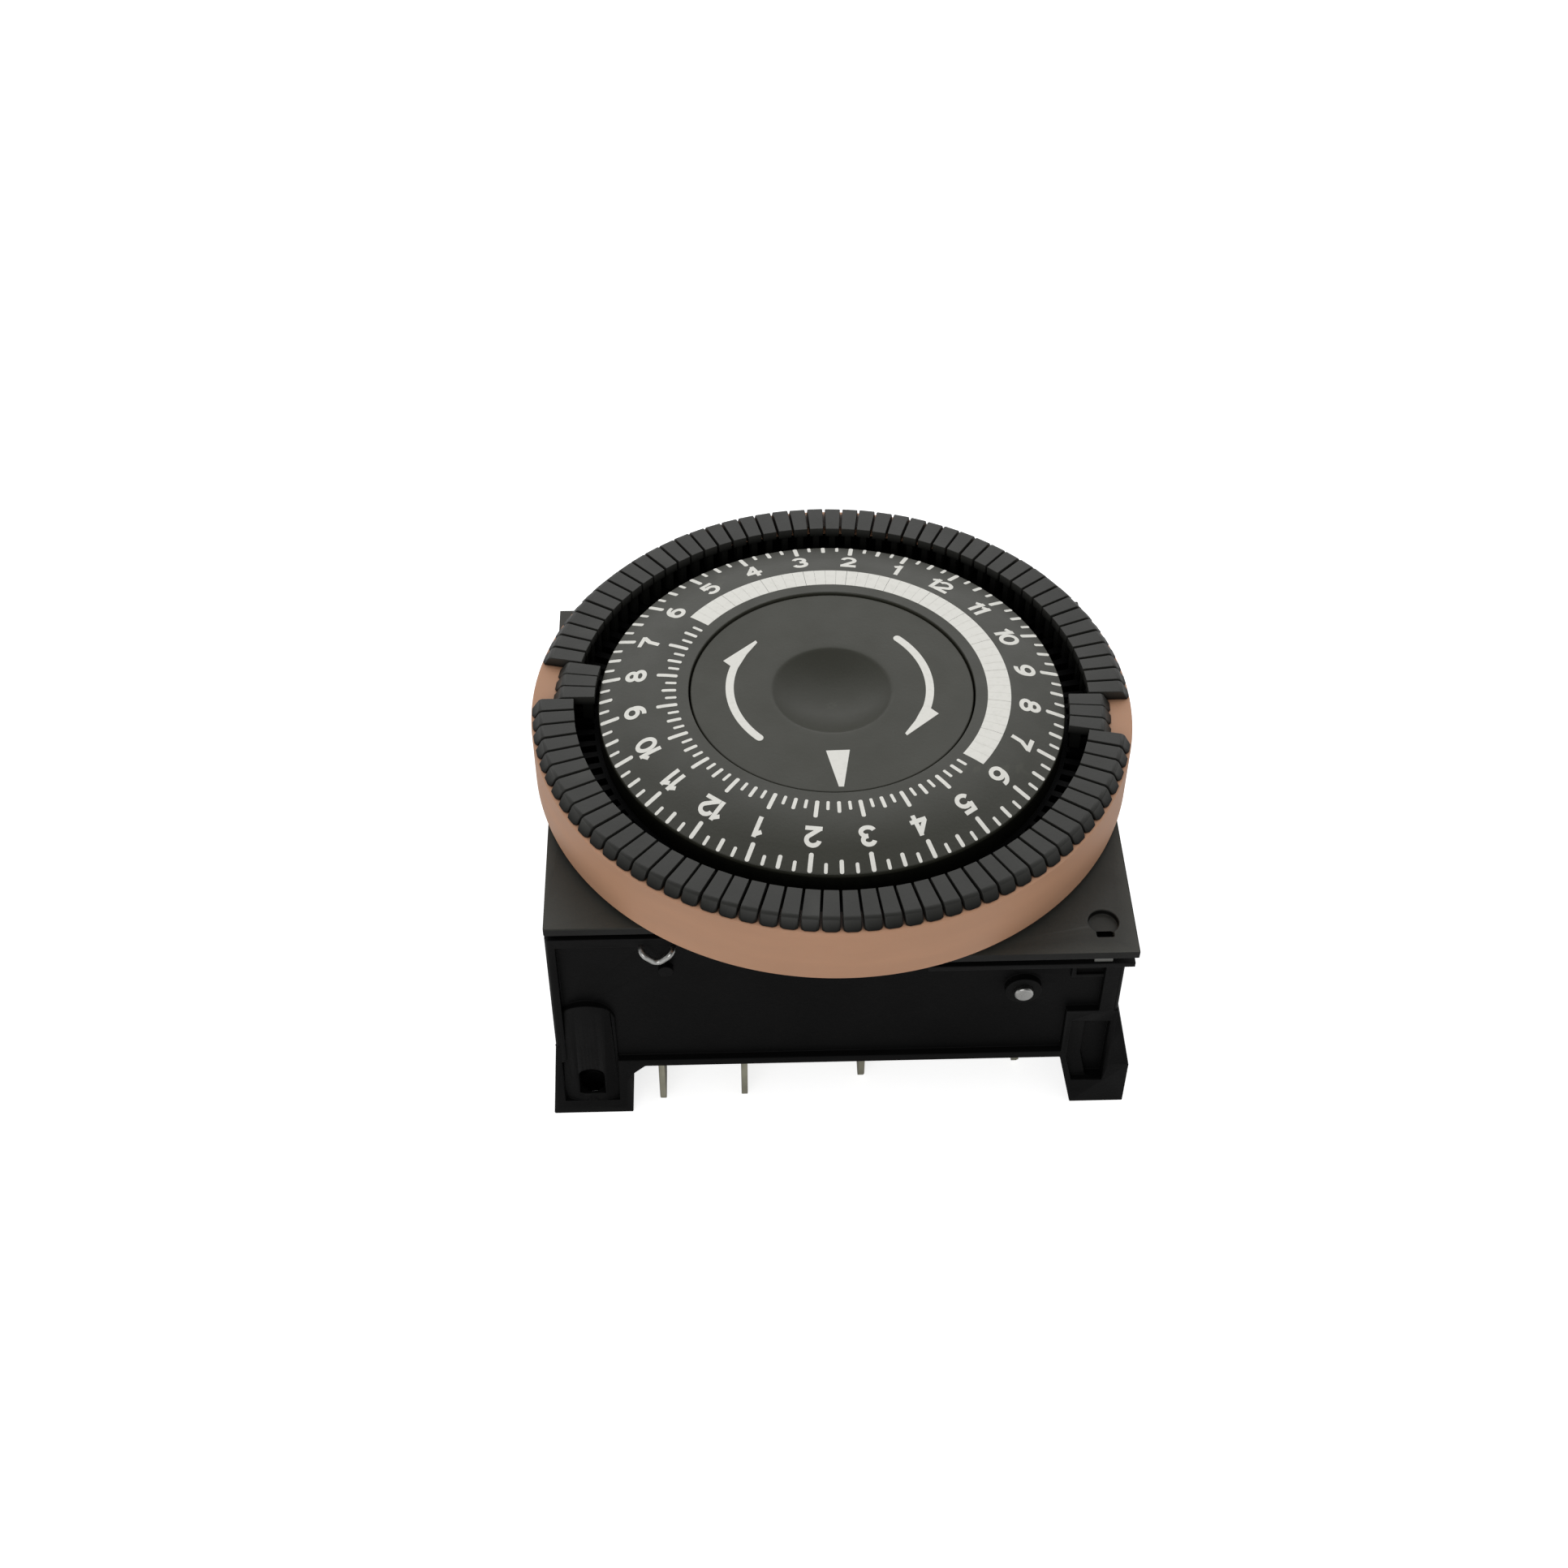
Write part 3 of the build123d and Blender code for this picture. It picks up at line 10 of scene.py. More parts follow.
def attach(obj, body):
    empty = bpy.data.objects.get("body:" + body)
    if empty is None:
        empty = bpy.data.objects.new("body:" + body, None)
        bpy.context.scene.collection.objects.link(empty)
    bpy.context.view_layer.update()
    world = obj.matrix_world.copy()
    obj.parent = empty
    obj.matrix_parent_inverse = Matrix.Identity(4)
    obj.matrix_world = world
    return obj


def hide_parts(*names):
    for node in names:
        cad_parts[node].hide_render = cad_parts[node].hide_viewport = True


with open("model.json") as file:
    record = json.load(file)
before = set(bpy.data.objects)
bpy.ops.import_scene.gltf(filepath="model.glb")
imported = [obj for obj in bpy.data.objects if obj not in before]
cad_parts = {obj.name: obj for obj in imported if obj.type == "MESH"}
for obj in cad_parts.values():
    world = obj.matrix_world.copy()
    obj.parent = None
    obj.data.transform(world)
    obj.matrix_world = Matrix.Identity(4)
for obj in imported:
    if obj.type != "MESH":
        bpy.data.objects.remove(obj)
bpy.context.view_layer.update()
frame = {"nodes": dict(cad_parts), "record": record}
MM = 0.001
random.seed(24)

# Camera, from the fit to the dial's ticks
CAMERA_AZIMUTH = radians(-2.0)
CAMERA_ELEVATION = radians(46.411)
CAMERA_ROLL = radians(0.335)
CAMERA_LENS = 52.04
CAMERA_NEAREST = 0.01             # metres
CAMERA_DISTANCE = 279.19          # from the dial's centre
DIAL_CENTRE = Vector((0, 0, 46.7))
VIEW_SHIFT = (-5.881, -10.660)    # dial's centre lies off the picture's middle

# Dial sizes in millimetres, as in the solids
RING_R = 37.0
RING_BASE = 37.5
RING_TOP = 45.7
RING_WALL = 1.6
RING_ROUNDING = (0.2, 0.4, 0.3, 0.15, 0.1, 0.2)    # from the inner foot outwards and up
LEDGE_R = 33.7
LEDGE_THICKNESS = 1.25
FACE_R = 28.7
FACE_FLAT_R = 22.9
FACE_HOLE_R = 17.6
FACE_RIM = 46.3
FACE_TOP = 48.35
FACE_THICKNESS = 1.5
FACE_SKIRT = 1.2
FACE_BLEND = 3.0                  # half width of the bend between the flat border and the cone
FACE_STEPS = 24
FACE_RIM_ROUNDING = 0.18
FACE_HOLE_ROUNDING = (0.15, 0.1)  # upper and lower edge
WEB_TOP = 42.0
DISC_R = 17.4
DISC_TOP = 48.1
DISC_THICKNESS = 1.55
DISC_ROUNDING = 0.2
DISC_BOSS_R = 8.6
DISC_SEAT = 43.9
DISC_BORE_R = 2.23
DISC_BORE_TOP = 45.0
DIMPLE_R = 7.5
DIMPLE_DEPTH = 2.8
DIMPLE_STEPS = 18
DIMPLE_LIP = 0.35                 # the bowl ends this far inside the dimple's edge
DIMPLE_RIM = ((-0.1, 0.07), (0.1, 0.02), (0.35, 0.0))    # radius past the edge, depth
DIMPLE_MARGIN = 1.0
AXIS_R = 0.01                     # turned profiles end just off the axis
TURNING_STEPS = 240

# Trippers
TRIPPER_COUNT = 96
PITCH_ANGLE = 360 / TRIPPER_COUNT
DIAL_TURN = -0.8
TRIPPER_INNER_R = 31.7
TRIPPER_OUTER_R = 36.9
TRIPPER_BASE = 45.8
TRIPPER_TOP = 47.1
TRIPPER_GAP = 0.32
TRIPPER_TRAVEL = 2.5
TRIPPER_ROUNDING = 0.07
TURN_LOOSENESS = 0.05             # degrees
SLIDE_LOOSENESS = (-0.05, 0.02)
TIP_LENGTH = 0.35
TIP_HALF_WIDTH = 0.6
TIP_SLOPE = 1.05
TIP_ROUNDING = 0.35
STEM_INNER_R = 32.0
STEM_LENGTH = 1.3
STEM_WIDTH = 0.8
STEM_END = 38.3
STEM_OVERLAP = 0.2                # how far the stem reaches into the head
PM_FIRST_INDEX = 45
AM_FIRST_INDEX = 93
SET_COUNT = 3

# Print on the dial
DAY_HOURS = 24
HALF_DAY_HOURS = 12
QUARTERS = 4
HOUR_ANGLE = 15.0
MIDNIGHT_ANGLE = 232.31           # direction of the tick at midnight
PRINT_RISE = 0.03
PRINT_SINK = 0.03
PRINT_STEP = 0.004                # each stroke lies a little over the one before
PRINT_REACH = 0.7                 # longer edges are cut so that they follow the face
PRINT_CUTS = 3
ARC_STEP = radians(1.0)
TICK_ROUNDING = 0.4               # of the width
OUTER_TICK_END = 28.62
INNER_TICK_R = 19.1
# Length and width of the ticks at the hour, quarter, half and three quarters
OUTER_TICKS = ((2.35, 0.55), (1.25, 0.42), (1.65, 0.5), (1.25, 0.42))
INNER_TICKS = ((2.6, 0.5), (1.4, 0.38), (1.8, 0.44), (1.4, 0.38))
DIGIT_R = 24.3
DIGIT_HEIGHT = 2.7
DIGIT_STROKE = 0.2                # of the height
MITRE_LIMIT = 0.6                 # least cosine by which a stroke's corner is widened
SAME_POINT = 1e-6
DAY_START = 6
DAY_END = 18
BAND_WIDTH = 2.85
BAND_LINE = 0.025                 # fine gaps in the white band
BAND_HOUR_LINE = 0.05

# Print on the centre disc, angles in degrees
POINTER_DIRECTION = radians(271.3)
POINTER_BASE = (10.5, 1.43)       # radius, half width
POINTER_TIP = (16.5, 0.3)
ARROW_ORIGIN = (-0.25, 0.4)       # both arrows lie on one circle about this point
ARROW_R = 12.3
ARROW_HALF_STROKE = 0.5
ARROW_CAP_STEPS = 8
ARROW_TAIL = 224.0
ARROW_TIP = 136.0
ARROW_TIP_CORNERS = ((ARROW_R + 0.1, ARROW_TIP), (ARROW_R - 0.3, ARROW_TIP + 0.6))
ARROW_BARB = (13.95, 159.0)
ARROW_BARB_ROOT = 161.5

# Finishes
NOISE_RANGE = (0.25, 0.75)        # where most of a noise's values lie
WORN_RANGE = (0.53, 0.62)         # pointiness at which an edge begins to wear, and is worn
MOTTLE_SCALE = 90.0
DULL_SCALE = 240.0
DULL_SPREAD = 0.06
GRAIN_STRENGTH = 0.5
MARK_SCALE = 900.0                # rolling marks on metal
MARK_STRENGTH = 0.25
MARK_DEPTH = 0.00002
PATCH_SCALE = 260.0
PATCH_SHADE = 0.72
PATCH_DULL = (-0.08, 0.12)        # change of roughness over the patches

# Painted shade: darker towards the groove between face and trippers and towards the trippers' foot, in the
# gaps between trippers and on upright faces
GROOVE_FADE = 0.3
TRIPPER_FADE = 1.0
GROOVE_SHADE = 0.25
CREVICE_REACH = 1.5
CREVICE_SAMPLES = 12
CREVICE_RANGE = (0.25, 0.6)       # share of open sky
CREVICE_SHADE = 0.06
SIDE_SHADE = 0.12

# Joining of meshes, in metres, and rounded edges of the dressed solids
MERGE_REACH = 1e-8
WELD_REACH = 2e-7
FLAT_ANGLE = radians(0.8)
CRISP_ANGLE = radians(40)
NARROW_ANGLE = radians(15)
EDGE_SEGMENTS = 2
TIP_SEGMENTS = 4
ROUND_PROFILE = 0.5

# Studio, in metres
SURROUND_LIGHT = 0.45
CAMERA_SIDE_LIGHT = 0.08          # reflected surround behind the camera
BRIGHT_SIDE = (0.0, 0.707, -0.707)    # the backdrop is brightest low down behind the object
DIMMEST = -0.95
BRIGHTEST = 0.5
FLOOR_LIFT = 0.77
FLOOR_REACH = 6.0
# Painted shade: around each foot's open hole the floor's camera lift is left off, so the floor seen through
# it stays dark.
FOOT_HOLES = ((-31.0, -26.1), (31.0, 26.1))    # millimetres
FOOT_HOLE_REACH = (1.8, 1.9)      # floor is left dark under a foot's open hole
LAMPS = [
    ("softbox_back", (0.0, 0.7, 0.85), (1.7, 1.2), 5.6),
    ("softbox_front", (-0.3, -0.95, 0.5), (0.7, 0.5), 2.2),
]


def link(obj):
    bpy.context.scene.collection.objects.link(obj)
    return obj


# Materials


class Shader:
    """A node material with one principled shader, built up by small calls."""

    def __init__(self, name, colour, roughness, specular=0.5, metallic=0.0):
        self.material = bpy.data.materials.new(name)
        self.material.use_nodes = True
        self.nodes = self.material.node_tree.nodes
        self.links = self.material.node_tree.links
        self.bsdf = self.nodes["Principled BSDF"]
        self.bsdf.inputs["Base Color"].default_value = (*colour, 1)
        self.bsdf.inputs["Roughness"].default_value = roughness
        self.bsdf.inputs["Specular IOR Level"].default_value = specular
        self.bsdf.inputs["Metallic"].default_value = metallic
        self.place = self.nodes.new("ShaderNodeTexCoord").outputs["Object"]
        self.normal = None

    def noise(self, scale, detail=3.0, stretch=None):
        node = self.nodes.new("ShaderNodeTexNoise")
        node.inputs["Scale"].default_value = scale
        node.inputs["Detail"].default_value = detail
        place = self.place
        if stretch:
            mapping = self.nodes.new("ShaderNodeMapping")
            mapping.inputs["Scale"].default_value = stretch
            self.links.new(self.place, mapping.inputs["Vector"])
            place = mapping.outputs["Vector"]
        self.links.new(place, node.inputs["Vector"])
        return node.outputs["Fac"]

    def ramp(self, value, low, high, start=0.3, end=0.7):
        """Colour that goes from one tone to another as the value rises."""
        node = self.nodes.new("ShaderNodeValToRGB")
        node.color_ramp.elements[0].position = start
        node.color_ramp.elements[1].position = end
        node.color_ramp.elements[0].color = (*low, 1)
        node.color_ramp.elements[1].color = (*high, 1)
        self.links.new(value, node.inputs["Fac"])
        return node.outputs["Color"]

    def mapped(self, value, span=(0.0, 1.0), low=0.0, high=1.0):
        """Value brought from one span to another and held within it."""
        node = self.nodes.new("ShaderNodeMapRange")
        node.inputs["From Min"].default_value, node.inputs["From Max"].default_value = span
        node.inputs["To Min"].default_value = low
        node.inputs["To Max"].default_value = high
        self.links.new(value, node.inputs["Value"])
        return node.outputs["Result"]

    def bump(self, value, strength, depth):
        node = self.nodes.new("ShaderNodeBump")
        node.inputs["Strength"].default_value = strength
        node.inputs["Distance"].default_value = depth
        self.links.new(value, node.inputs["Height"])
        if self.normal:
            self.links.new(self.normal, node.inputs["Normal"])
        self.normal = node.outputs["Normal"]
        self.links.new(self.normal, self.bsdf.inputs["Normal"])

    def surface(self, output):
        return self.nodes.new("ShaderNodeNewGeometry").outputs[output]

    def upward(self, vector):
        """The vector's share along Z."""
        node = self.nodes.new("ShaderNodeSeparateXYZ")
        self.links.new(vector, node.inputs[0])
        return node.outputs["Z"]

    def times(self, value, factor):
        node = self.nodes.new("ShaderNodeMath")
        node.operation = "MULTIPLY"
        node.inputs[1].default_value = factor
        self.links.new(value, node.inputs[0])
        return node.outputs[0]

    def worn_edges(self, colour, worn):
        """Lightens the colour where the surface is sharply convex."""
        mix = self.nodes.new("ShaderNodeMix")
        mix.data_type = "RGBA"
        self.links.new(self.mapped(self.surface("Pointiness"), WORN_RANGE), mix.inputs["Factor"])
        self.links.new(colour, mix.inputs["A"])
        mix.inputs["B"].default_value = (*worn, 1)
        return mix.outputs["Result"]

    def shaded_below(self, colour, top, fade_depth):
        """Painted shade: darkens colour and shine towards the bottom of a groove, under a height in
        millimetres.
        """
        span = (MM * (top - fade_depth), MM * top)
        fade = self.mapped(self.upward(self.place), span, GROOVE_SHADE)
        shine = self.bsdf.inputs["Specular IOR Level"]
        self.links.new(self.times(fade, shine.default_value), shine)
        return self.dimmed(colour, fade)

    def dark_crevices(self, colour, reach):
        """Painted shade: darkens the colour where other surfaces stand close, within some millimetres."""
        near = self.nodes.new("ShaderNodeAmbientOcclusion")
        near.samples = CREVICE_SAMPLES
        near.inputs["Distance"].default_value = MM * reach
        return self.dimmed(colour, self.mapped(near.outputs["AO"], CREVICE_RANGE, CREVICE_SHADE))

    def dark_sides(self, colour):
        """Painted shade: darkens the colour on faces that stand upright."""
        facing = self.upward(self.surface("True Normal"))
        return self.dimmed(colour, self.mapped(facing, low=SIDE_SHADE))

    def dimmed(self, colour, factor):
        scale = self.nodes.new("ShaderNodeVectorMath")
        scale.operation = "SCALE"
        self.links.new(colour, scale.inputs[0])
        self.links.new(factor, scale.inputs["Scale"])
        return scale.outputs["Vector"]

    def paint(self, colour):
        self.links.new(colour, self.bsdf.inputs["Base Color"])

    def rough(self, value, low, high):
        """Roughness that follows a noise between two values."""
        self.links.new(self.mapped(value, NOISE_RANGE, low, high), self.bsdf.inputs["Roughness"])


def scaled(colour, factor):
    return tuple(c * factor for c in colour)


def moulded(
    name, colour, roughness, specular, grain, grain_depth,
    worn=1.5, mottle=0.12, groove=None, sides=False,
):
    """Moulded plastic: fine spark texture, slight mottling and edges rubbed a little lighter, with painted
    shade in a groove or on upright faces where asked.
    """
    shader = Shader(name, colour, roughness, specular)
    clouds = shader.noise(MOTTLE_SCALE, 4.0)
    tint = shader.ramp(clouds, scaled(colour, 1 - mottle), scaled(colour, 1 + mottle))
    tint = shader.worn_edges(tint, scaled(colour, worn))
    # Painted shade towards the bottom of a groove.
    if groove:
        tint = shader.shaded_below(tint, *groove)
    # Painted shade on upright faces.
    if sides:
        tint = shader.dark_sides(tint)
    shader.paint(tint)
    shader.rough(shader.noise(DULL_SCALE, 5.0), roughness - DULL_SPREAD, roughness + DULL_SPREAD)
    shader.bump(shader.noise(grain, 2.0), GRAIN_STRENGTH, grain_depth)
    return shader


def plated(name, colour, roughness, stretch):
    """Plated sheet or wire: bright metal with fine rolling marks and dull patches."""
    shader = Shader(name, colour, roughness, 0.5, 1.0)
    marks = shader.noise(MARK_SCALE, 5.0, stretch)
    patches = shader.noise(PATCH_SCALE, 4.0)
    shader.paint(shader.ramp(patches, scaled(colour, PATCH_SHADE), colour))
    shader.rough(patches, roughness + PATCH_DULL[0], roughness + PATCH_DULL[1])
    shader.bump(marks, MARK_STRENGTH, MARK_DEPTH)
    return shader


def print_ink():
    """White ink, a little uneven."""
    shader = Shader("print_white", (0.92, 0.91, 0.85), 0.55, 0.3)
    thin = shader.noise(1600.0, 4.0)
    shader.paint(shader.ramp(thin, (0.89, 0.88, 0.82), (0.94, 0.93, 0.87), 0.3, 0.5))
    shader.bump(thin, 0.2, 0.00001)
    return shader


def ring_plastic():
    """Salmon plastic: faint flow marks along the ring, a little light let in under the skin, and painted
    shade where other parts stand close.
    """
    colour = (0.53, 0.293, 0.179)
    shader = Shader("ring_salmon", colour, 0.5, 0.35)
    flow = shader.noise(110.0, 4.0, (0.5, 0.5, 2.5))
    fine = shader.noise(2200.0, 2.0)
    tint = shader.ramp(flow, scaled(colour, 0.95), scaled(colour, 1.06))
    tint = shader.worn_edges(tint, scaled(colour, 1.2))
    # Painted shade where trippers and other parts stand close over the ring.
    shader.paint(shader.dark_crevices(tint, CREVICE_REACH))
    shader.rough(flow, 0.44, 0.56)
    shader.bump(fine, 0.35, 0.00002)
    shader.bsdf.inputs["Subsurface Weight"].default_value = 0.08
    shader.bsdf.inputs["Subsurface Radius"].default_value = (0.0012, 0.0006, 0.0004)
    shader.bsdf.inputs["Subsurface Scale"].default_value = 1.0
    return shader


def wound_copper():
    """Enamelled winding: turns laid side by side up the coil."""
    colour = (0.5, 0.19, 0.08)
    shader = Shader("coil_copper", colour, 0.35, 0.5, 0.8)
    turns = shader.nodes.new("ShaderNodeTexWave")
    turns.bands_direction = "Z"
    turns.inputs["Scale"].default_value = 900.0
    turns.inputs["Distortion"].default_value = 1.2
    shader.links.new(shader.place, turns.inputs["Vector"])
    shader.paint(shader.ramp(turns.outputs["Fac"], scaled(colour, 0.5), scaled(colour, 1.3), 0.1, 0.9))
    shader.bump(turns.outputs["Fac"], 0.5, 0.00008)
    return shader


# Height spans of painted shade: trippers darker towards their foot, the face darker down into the groove.
TRIPPER_SHADE_SPAN = (TRIPPER_BASE + TRIPPER_FADE, TRIPPER_FADE)
FACE_SHADE_SPAN = (FACE_RIM - GROOVE_FADE, GROOVE_FADE)
HOUSING = moulded("housing_black", (0.004, 0.004, 0.004), 0.5, 0.08, 1700.0, 0.00005, 4.0)
# Painted light and shade: the plate's black is set lighter than the housing's so its top reads lit, and its
# upright faces are darkened.
PLATE = moulded("plate_black", (0.036, 0.036, 0.031), 0.5, 0.26, 1900.0, 0.00004, sides=True)
# Painted shade: the carrier's black is darker and duller than the housing's, so the groove over it reads as
# shaded.
CARRIER = moulded("carrier_black", (0.002, 0.002, 0.0022), 0.5, 0.05, 1500.0, 0.00003)
TRIPPER = moulded(
    "tripper_grey", (0.027, 0.0272, 0.0245), 0.45, 0.33, 2600.0, 0.00003, 1.6, groove=TRIPPER_SHADE_SPAN,
)
FACE = moulded(
    "face_grey", (0.037, 0.0375, 0.027), 0.46, 0.5, 2400.0, 0.00003, 1.3, 0.06, FACE_SHADE_SPAN,
)
DISC = moulded("disc_grey", (0.047, 0.0475, 0.0365), 0.46, 0.36, 2400.0, 0.00003, 1.3, 0.05)
GEAR = moulded("gear_white", (0.72, 0.71, 0.66), 0.42, 0.45, 900.0, 0.00002, 1.08, 0.04)
CLIP = moulded("clip_grey", (0.16, 0.16, 0.15), 0.45, 0.4, 900.0, 0.00002, 1.1)
INSULATION = moulded("lead_insulation", (0.30, 0.02, 0.018), 0.4, 0.5, 900.0, 0.00002, 1.1)
MAGNET = moulded("magnet_grey", (0.06, 0.06, 0.065), 0.5, 0.5, 1200.0, 0.00005, 1.3)
RING = ring_plastic()
INK = print_ink()
COPPER = wound_copper()
STEEL = plated("steel_plated", (0.62, 0.62, 0.6), 0.28, (1, 1, 0.15))
TIN = plated("brass_tinned", (0.66, 0.64, 0.5), 0.3, (1, 1, 0.1))
SILVER = plated("contact_silver", (0.75, 0.74, 0.72), 0.25, (1, 1, 1))
SLOT_SHADERS = {
    "housing_black": HOUSING, "plate_black": PLATE, "ring_salmon": RING, "tripper_grey": TRIPPER,
    "face_grey": FACE, "gear_white": GEAR, "steel": STEEL, "tinned_brass": TIN, "copper": COPPER,
    "magnet": MAGNET, "insulation": INSULATION, "silver": SILVER,
}


# Pieces


def put(mesh, name, shader, body, replaced=(), soften=35):
    """Places a mesh as a piece on a body, in the stead of some solids."""
    obj = link(bpy.data.objects.new(name, mesh))
    mesh.materials.clear()
    mesh.materials.append(shader.material)
    mesh.shade_smooth()
    mesh.set_sharp_from_angle(angle=radians(soften))
    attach(obj, body)
    if replaced:
        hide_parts(*replaced)
    return obj


def weigh_normals(obj):
    """Keeps broad faces flat in the shading beside small rounded edges."""
    modifier = obj.modifiers.new("flat_faces", "WEIGHTED_NORMAL")
    modifier.keep_sharp = True


def rounded(outline, radii, steps=4):
    """Outline with each corner rounded by its radius, as a list of points."""
    points = []
    for i, corner in enumerate(outline):
        here = Vector(corner)
        before, after = Vector(outline[i - 1]), Vector(outline[(i + 1) % len(outline)])
        radius = radii[i]
        if radius == 0:
            points.append(here)
            continue
        inward, outward = (before - here).normalized(), (after - here).normalized()
        half = inward.angle(outward) / 2
        reach = radius / tan(half)
        middle = here + (inward + outward).normalized() * (radius / sin(half))
        start, end = here + inward * reach, here + outward * reach
        for k in range(steps + 1):
            way = start.lerp(end, k / steps) - middle
            points.append(middle + way.normalized() * radius)
    return points


def lathe(profile, name):
    """Closed ring turned from a closed profile of (radius, height) in millimetres."""
    verts, faces = [], []
    count = len(profile)
    for s in range(TURNING_STEPS):
        angle = 2 * pi * s / TURNING_STEPS
        verts += [(MM * r * cos(angle), MM * r * sin(angle), MM * z) for r, z in profile]
        here, there = s * count, (s + 1) % TURNING_STEPS * count
        for i in range(count):
            j = (i + 1) % count
            faces.append((here + i, there + i, there + j, here + j))
    mesh = bpy.data.meshes.new(name)
    mesh.from_pydata(verts, [], faces)
    bm = bmesh.new()
    bm.from_mesh(mesh)
    bmesh.ops.remove_doubles(bm, verts=bm.verts, dist=MERGE_REACH)
    bmesh.ops.dissolve_degenerate(bm, edges=bm.edges, dist=MERGE_REACH)
    bmesh.ops.recalc_face_normals(bm, faces=bm.faces)
    bm.to_mesh(mesh)
    bm.free()
    return mesh


def nearly_along(edge, vert):
    """Says whether another edge leaves this corner almost in the edge's own direction."""
    way = edge.other_vert(vert).co - vert.co
    others = [other.other_vert(vert).co - vert.co for other in vert.link_edges if other is not edge]
    return any(way.angle(other) < NARROW_ANGLE for other in others)


def mark_crisp(bm):
    """Marks the sharp edges that can be rounded, which leaves out those in narrow corners."""
    weight = bm.edges.layers.float.new("bevel_weight_edge")
    for edge in bm.edges:
        if len(edge.link_faces) != 2 or edge.calc_face_angle() < CRISP_ANGLE:
            continue
        if not any(nearly_along(edge, vert) for vert in edge.verts):
            edge[weight] = 1


def dressed(node, body, shader, width):
    """Copy of a solid's mesh with its flat faces joined and its edges rounded."""
    mesh = frame["nodes"][node].data.copy()
    bm = bmesh.new()
    bm.from_mesh(mesh)
    bmesh.ops.remove_doubles(bm, verts=bm.verts, dist=WELD_REACH)
    bmesh.ops.dissolve_limit(bm, angle_limit=FLAT_ANGLE, verts=bm.verts, edges=bm.edges)
    mark_crisp(bm)
    bm.to_mesh(mesh)
    bm.free()
    obj = put(mesh, "skin_" + node, shader, body, [node])
    bevel = obj.modifiers.new("edges", "BEVEL")
    bevel.width = MM * width
    bevel.segments = EDGE_SEGMENTS
    bevel.limit_method = "WEIGHT"
    bevel.use_clamp_overlap = False
    bevel.miter_outer = "MITER_ARC"
    bevel.harden_normals = True


# Dial


def make_ring():
    inner = RING_R - RING_WALL
    under_ledge = RING_TOP - LEDGE_THICKNESS
    outline = [
        (inner, RING_BASE), (RING_R, RING_BASE), (RING_R, RING_TOP),
        (LEDGE_R, RING_TOP), (LEDGE_R, under_ledge), (inner, under_ledge),
    ]
    profile = rounded(outline, RING_ROUNDING)
    obj = put(lathe(profile, "ring"), "ring_skin", RING, "dial", ["dial_ring"])
    weigh_normals(obj)


def face_height(radius):
    """Height of the face: flat border, gentle bend, cone."""
    slope = (FACE_TOP - FACE_RIM) / (FACE_R - FACE_FLAT_R)
    past = radius - FACE_FLAT_R
    if abs(past) < FACE_BLEND:
        return FACE_TOP - slope * (past + FACE_BLEND) ** 2 / (4 * FACE_BLEND)
    return FACE_TOP - slope * max(past, 0)


def make_face():
    skirt = FACE_R - FACE_SKIRT
    under = FACE_TOP - FACE_THICKNESS
    reach = FACE_FLAT_R + FACE_BLEND
    bend_radii = [reach - 2 * FACE_BLEND * k / FACE_STEPS for k in range(FACE_STEPS + 1)]
    bend = [(r, face_height(r)) for r in bend_radii]
    below = [(FACE_HOLE_R, under), (FACE_FLAT_R, under)]
    foot = [(skirt, face_height(skirt) - FACE_THICKNESS), (skirt, WEB_TOP)]
    outline = [(FACE_R, WEB_TOP), (FACE_R, FACE_RIM), *bend, (FACE_HOLE_R, FACE_TOP), *below, *foot]
    radii = [0, FACE_RIM_ROUNDING, *[0] * len(bend), *FACE_HOLE_ROUNDING, 0, 0, 0]
    profile = rounded(outline, radii)
    obj = put(lathe(profile, "face"), "face_skin", FACE, "dial", ["dial_face"])
    weigh_normals(obj)


def make_disc():
    """Fixed disc with its finger dimple and the boss under it."""
    ball = (DIMPLE_R ** 2 + DIMPLE_DEPTH ** 2) / (2 * DIMPLE_DEPTH)
    floor = DISC_TOP - DIMPLE_DEPTH
    dimple = []
    for k in range(DIMPLE_STEPS):
        r = (DIMPLE_R - DIMPLE_LIP) * k / (DIMPLE_STEPS - 1)
        dimple.append((max(r, AXIS_R), floor + ball - (ball ** 2 - r ** 2) ** 0.5))
    rim = [(DIMPLE_R + past, DISC_TOP - depth) for past, depth in DIMPLE_RIM]
    under = DISC_TOP - DISC_THICKNESS
    outline = [
        (DIMPLE_R + DIMPLE_MARGIN, DISC_TOP), (DISC_R, DISC_TOP), (DISC_R, under),
        (DISC_BOSS_R, under), (DISC_BOSS_R, DISC_SEAT),
    ]
    edge = [tuple(p) for p in rounded(outline, (0, DISC_ROUNDING, 0, 0, 0))]
    closing = [(DISC_BORE_R, DISC_SEAT), (DISC_BORE_R, DISC_BORE_TOP), (AXIS_R, DISC_BORE_TOP)]
    mesh = lathe(dimple + rim + edge + closing, "disc")
    obj = put(mesh, "disc_skin", DISC, "housing", ["centre_disc"], 50)
    weigh_normals(obj)


# Trippers


def half_width(radius):
    return radius * tan(radians(PITCH_ANGLE / 2)) - TRIPPER_GAP / 2


def round_edges(bm, edges, radius, segments, clamp=False):
    bmesh.ops.bevel(
        bm, geom=edges, offset=MM * radius, segments=segments, profile=ROUND_PROFILE,
        affect="EDGES", clamp_overlap=clamp,
    )


